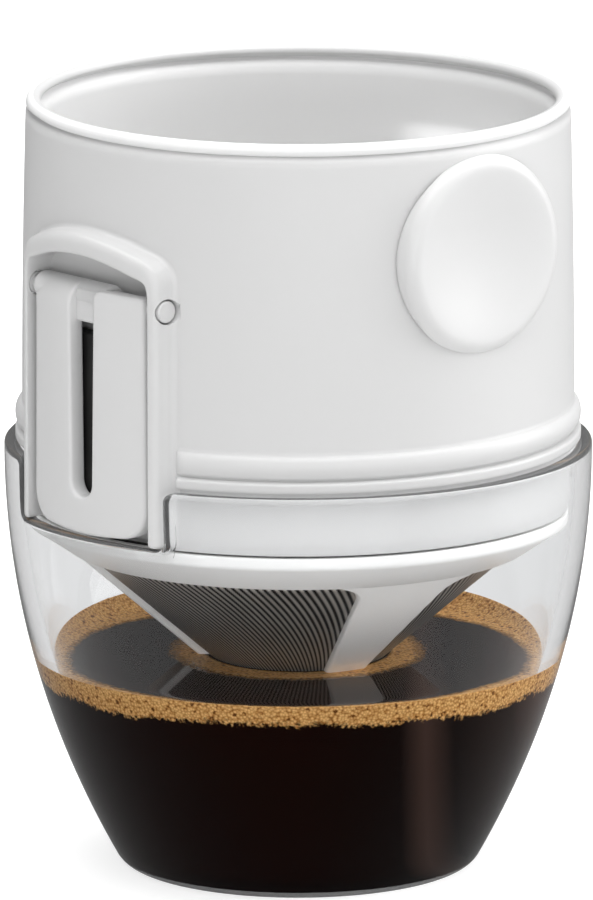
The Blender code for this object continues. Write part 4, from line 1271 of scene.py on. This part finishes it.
def coffee_look():
    """Foam shows where a soft noise plus the closeness to the wall, the cone or the top edge passes a
    threshold. Its bubbles are cells at two sizes."""
    made, tree, shader = new_material("coffee_and_foam_painted_light")
    place = tree.nodes.new("ShaderNodeTexCoord").outputs["Object"]
    split = node(tree, "ShaderNodeSeparateXYZ", {"Vector": place})
    flat = node(tree, "ShaderNodeCombineXYZ", {"X": split.outputs["X"], "Y": split.outputs["Y"]})
    radius = node(tree, "ShaderNodeVectorMath", {0: flat.outputs[0]}, operation="LENGTH").outputs["Value"]
    rough_edge = node(tree, "ShaderNodeTexNoise", {"Vector": place}, Scale=1700.0, Detail=4.0)
    broad = node(tree, "ShaderNodeTexNoise", {"Vector": place}, Scale=90.0, Detail=2.0)
    jitter = node(tree, "ShaderNodeMath", {0: rough_edge.outputs["Fac"], 1: broad.outputs["Fac"]},
                  operation="ADD")
    offset = scaled(tree, jitter.outputs[0], -0.0008, 0.0008, 0.7, 1.3)
    away = node(tree, "ShaderNodeVectorMath", {0: place}, operation="DOT_PRODUCT")
    away.inputs[1].default_value = (away_x, away_y, 0)
    wall_r = float(cup_radius(COFFEE_Z - FOAM_DROP, True)) * MM
    wide = scaled(tree, away.outputs["Value"], wall_r - 0.0002, wall_r - 0.0065, -0.005, 0.035)
    near_wall = combined(tree, "SUBTRACT", radius, wide)
    near_wall = combined(tree, "ADD", near_wall, offset)
    on_top = scaled(tree, near_wall, 0.0, 1.0, -0.0012, 0.0004)
    height = combined(tree, "ADD", split.outputs["Z"], offset)
    band_z = (COFFEE_Z + 0.3 - FOAM_DROP) * MM
    above_band = scaled(tree, height, 0.0, 1.0, band_z - 0.0003, band_z + 0.0003)
    wall_foam = combined(tree, "MULTIPLY", on_top, above_band)
    near_cone = combined(tree, "SUBTRACT", radius, offset)
    cone_foam = scaled(tree, near_cone, 1.0, 0.0, 0.0172, 0.0192)
    outside = scaled(tree, radius, 0.0, 1.0, 0.0136, 0.0142)
    cone_foam = combined(tree, "MULTIPLY", cone_foam, outside)
    cone_foam = combined(tree, "MULTIPLY", cone_foam, above_band)
    foam = combined(tree, "MAXIMUM", wall_foam, cone_foam)
    cells = node(tree, "ShaderNodeTexVoronoi", {"Vector": place}, Scale=2400.0)
    bubbles = node(tree, "ShaderNodeTexVoronoi", {"Vector": place}, Scale=700.0)
    hollow = scaled(tree, bubbles.outputs["Distance"], 0.45, 0.0, 0.12, 0.3)
    dimple = combined(tree, "ADD", cells.outputs["Distance"], hollow)
    tone = node(tree, "ShaderNodeValToRGB", {"Fac": dimple})
    tone.color_ramp.elements[0].position = 0.1
    tone.color_ramp.elements[0].color = (0.90, 0.56, 0.22, 1)
    tone.color_ramp.elements[1].position = 0.75
    tone.color_ramp.elements[1].color = (0.48, 0.22, 0.06, 1)
    tone.color_ramp.elements.new(1.0).color = (0.14, 0.05, 0.012, 1)
    colour = tree.nodes.new("ShaderNodeMix")
    colour.data_type = "RGBA"
    # painted light: the coffee's colour grows browner towards the right, where the key lamp is, and a lighter
    # band a little right of the middle is a painted highlight
    right_side = node(tree, "ShaderNodeVectorMath", {0: place}, operation="DOT_PRODUCT")
    right_side.inputs[1].default_value = (*across[:2], 0)
    painted_light_share = scaled(tree, right_side.outputs["Value"], 0.0, 1.0, 0.0, 0.04)
    painted_light_ramp = node(tree, "ShaderNodeValToRGB", {"Fac": painted_light_share})
    painted_light_ramp.color_ramp.elements[0].color = (0.006, 0.0008, 0.0003, 1)
    painted_light_ramp.color_ramp.elements[1].color = (0.11, 0.055, 0.04, 1)
    for position, painted_tone in ((0.36, (0.004, 0.001, 0.0006, 1)), (0.45, (0.05, 0.028, 0.022, 1)),
                                (0.55, (0.004, 0.001, 0.0006, 1)), (0.75, (0.012, 0.004, 0.002, 1))):
        painted_light_ramp.color_ramp.elements.new(position).color = painted_tone
    tree.links.new(painted_light_ramp.outputs["Color"], colour.inputs[6])
    tree.links.new(foam, colour.inputs[0])
    tree.links.new(tone.outputs["Color"], colour.inputs[7])
    tree.links.new(colour.outputs[2], shader.inputs["Base Color"])
    tree.links.new(scaled(tree, foam, 0.04, 0.35, 0.0, 1.0), shader.inputs["Roughness"])
    surface_z = (COFFEE_Z - 0.1) * MM
    gloss = scaled(tree, split.outputs["Z"], 0.0, 0.5, surface_z - 0.0001, surface_z)
    tree.links.new(gloss, shader.inputs["Specular IOR Level"])
    shader.inputs["Specular Tint"].default_value = (1.0, 0.78, 0.66, 1)
    shader.inputs["IOR"].default_value = 1.25
    swell = combined(tree, "ADD", cells.outputs["Distance"], bubbles.outputs["Distance"])
    lumps = combined(tree, "MULTIPLY", swell, foam)
    bump = node(tree, "ShaderNodeBump", {"Height": lumps}, Strength=0.5, Distance=0.0003)
    bump.invert = True
    tree.links.new(bump.outputs["Normal"], shader.inputs["Normal"])
    return made


coffee = bpy.data.objects.new("coffee", mesh_of("coffee", [coffee_net()]))
bpy.context.scene.collection.objects.link(coffee)
coffee.data.materials.append(coffee_look())
print(f"coffee {COFFEE_Z - FLOOR_Z:.1f} mm deep")

# %% [markdown]
# ## Floor, light and backdrop
#
# A plain white floor runs past the edges of the view, as a sheet of paper does in a product studio. It
# glows for the camera and through clear plastic, so it stays white there, and it looks dark to glossy
# reflections, which gives the clear cup its grey edges. A broad sun stands for the ceiling bounce and
# reaches down into the chamber. A large soft lamp on the right models the round shapes, a small one
# high in front opens the shadows, a low one lights the filter from below the rim, and a dim sky that
# darkens towards the horizon fills the rest.

# %% Floor
floor_mesh = bpy.data.meshes.new("studio_floor")
reach = 6.0
floor_z = -0.0001  # a hair below the cup, so that the two faces don't coincide
floor_corners = [(-reach, -reach, floor_z), (reach, -reach, floor_z), (reach, reach, floor_z),
                 (-reach, reach, floor_z)]
floor_mesh.from_pydata(floor_corners, [], [(0, 1, 2, 3)])
studio_floor = bpy.data.objects.new("studio_floor", floor_mesh)
bpy.context.scene.collection.objects.link(studio_floor)
paper, paper_tree, paper_shader = new_material("white_paper")
paper_place = paper_tree.nodes.new("ShaderNodeTexCoord").outputs["Object"]
fibres = node(paper_tree, "ShaderNodeTexNoise", {"Vector": paper_place}, Scale=400.0, Detail=3.0)
paper_tree.links.new(scaled(paper_tree, fibres.outputs["Fac"], 0.85, 0.95), paper_shader.inputs["Roughness"])
paper_shader.inputs["Specular IOR Level"].default_value = 0.0
paper_shader.inputs["Emission Color"].default_value = (1, 1, 1, 1)
paths = paper_tree.nodes.new("ShaderNodeLightPath").outputs
seen = node(paper_tree, "ShaderNodeMath", {0: paths["Is Camera Ray"], 1: paths["Is Transmission Ray"]},
            operation="MAXIMUM").outputs[0]
glow = scaled(paper_tree, seen, 0.12, 0.62, 0.0, 1.0)
tone = node(paper_tree, "ShaderNodeValToRGB", {"Fac": paths["Is Glossy Ray"]})
tone.color_ramp.elements[0].color = (0.6, 0.6, 0.6, 1)
tone.color_ramp.elements[1].color = (0.12, 0.12, 0.12, 1)
paper_tree.links.new(tone.outputs["Color"], paper_shader.inputs["Base Color"])
paper_tree.links.new(glow, paper_shader.inputs["Emission Strength"])
floor_mesh.materials.append(paper)
print("floor laid")

# %% Sky
SKY_BRIGHT = 0.22
SKY_DARK = 0.13
world = bpy.data.worlds.new("soft_sky")
world.use_nodes = True
bpy.context.scene.world = world
sky = world.node_tree
sky_direction = sky.nodes.new("ShaderNodeTexCoord").outputs["Generated"]
sky_parts = sky.nodes.new("ShaderNodeSeparateXYZ")
sky.links.new(sky_direction, sky_parts.inputs[0])
sky_ramp = sky.nodes.new("ShaderNodeValToRGB")
sky.links.new(sky_parts.outputs["Z"], sky_ramp.inputs["Fac"])
sky_ramp.color_ramp.elements[0].position = 0.02
sky_ramp.color_ramp.elements[0].color = (SKY_DARK, SKY_DARK, SKY_DARK, 1)
sky_ramp.color_ramp.elements[1].position = 0.45
sky_ramp.color_ramp.elements[1].color = (SKY_BRIGHT, SKY_BRIGHT, SKY_BRIGHT, 1)
sky.links.new(sky_ramp.outputs["Color"], sky.nodes["Background"].inputs["Color"])
print("sky made")


# %% Lamps
def lamp(name, kind, strength, azimuth, elevation, distance=1.0, **settings):
    """A lamp aimed at the object's middle from an azimuth and elevation in degrees."""
    made = bpy.data.objects.new(name, bpy.data.lights.new(name, kind))
    made.data.energy = strength
    for key, value in settings.items():
        setattr(made.data, key, value)
    bpy.context.scene.collection.objects.link(made)
    aim(made, view_target + direction(azimuth, elevation) * distance, view_target)
    return made


lamp("ceiling_bounce", "SUN", 3.4, 0, 88, angle=math.radians(80))
lamp("key_softbox", "AREA", 6.0, VIEW_AZIMUTH + 100, 25, 1.1, shape="RECTANGLE", size=0.6, size_y=1.0)
lamp("high_front", "AREA", 1.2, VIEW_AZIMUTH - 8, 54, 1.2, shape="RECTANGLE", size=0.5, size_y=0.4)
lamp("low_fill", "AREA", 4.8, VIEW_AZIMUTH + 5, 4, 1.6, shape="RECTANGLE", size=1.4, size_y=0.25)
bpy.context.scene.view_settings.view_transform = "Standard"
print("lamps placed")
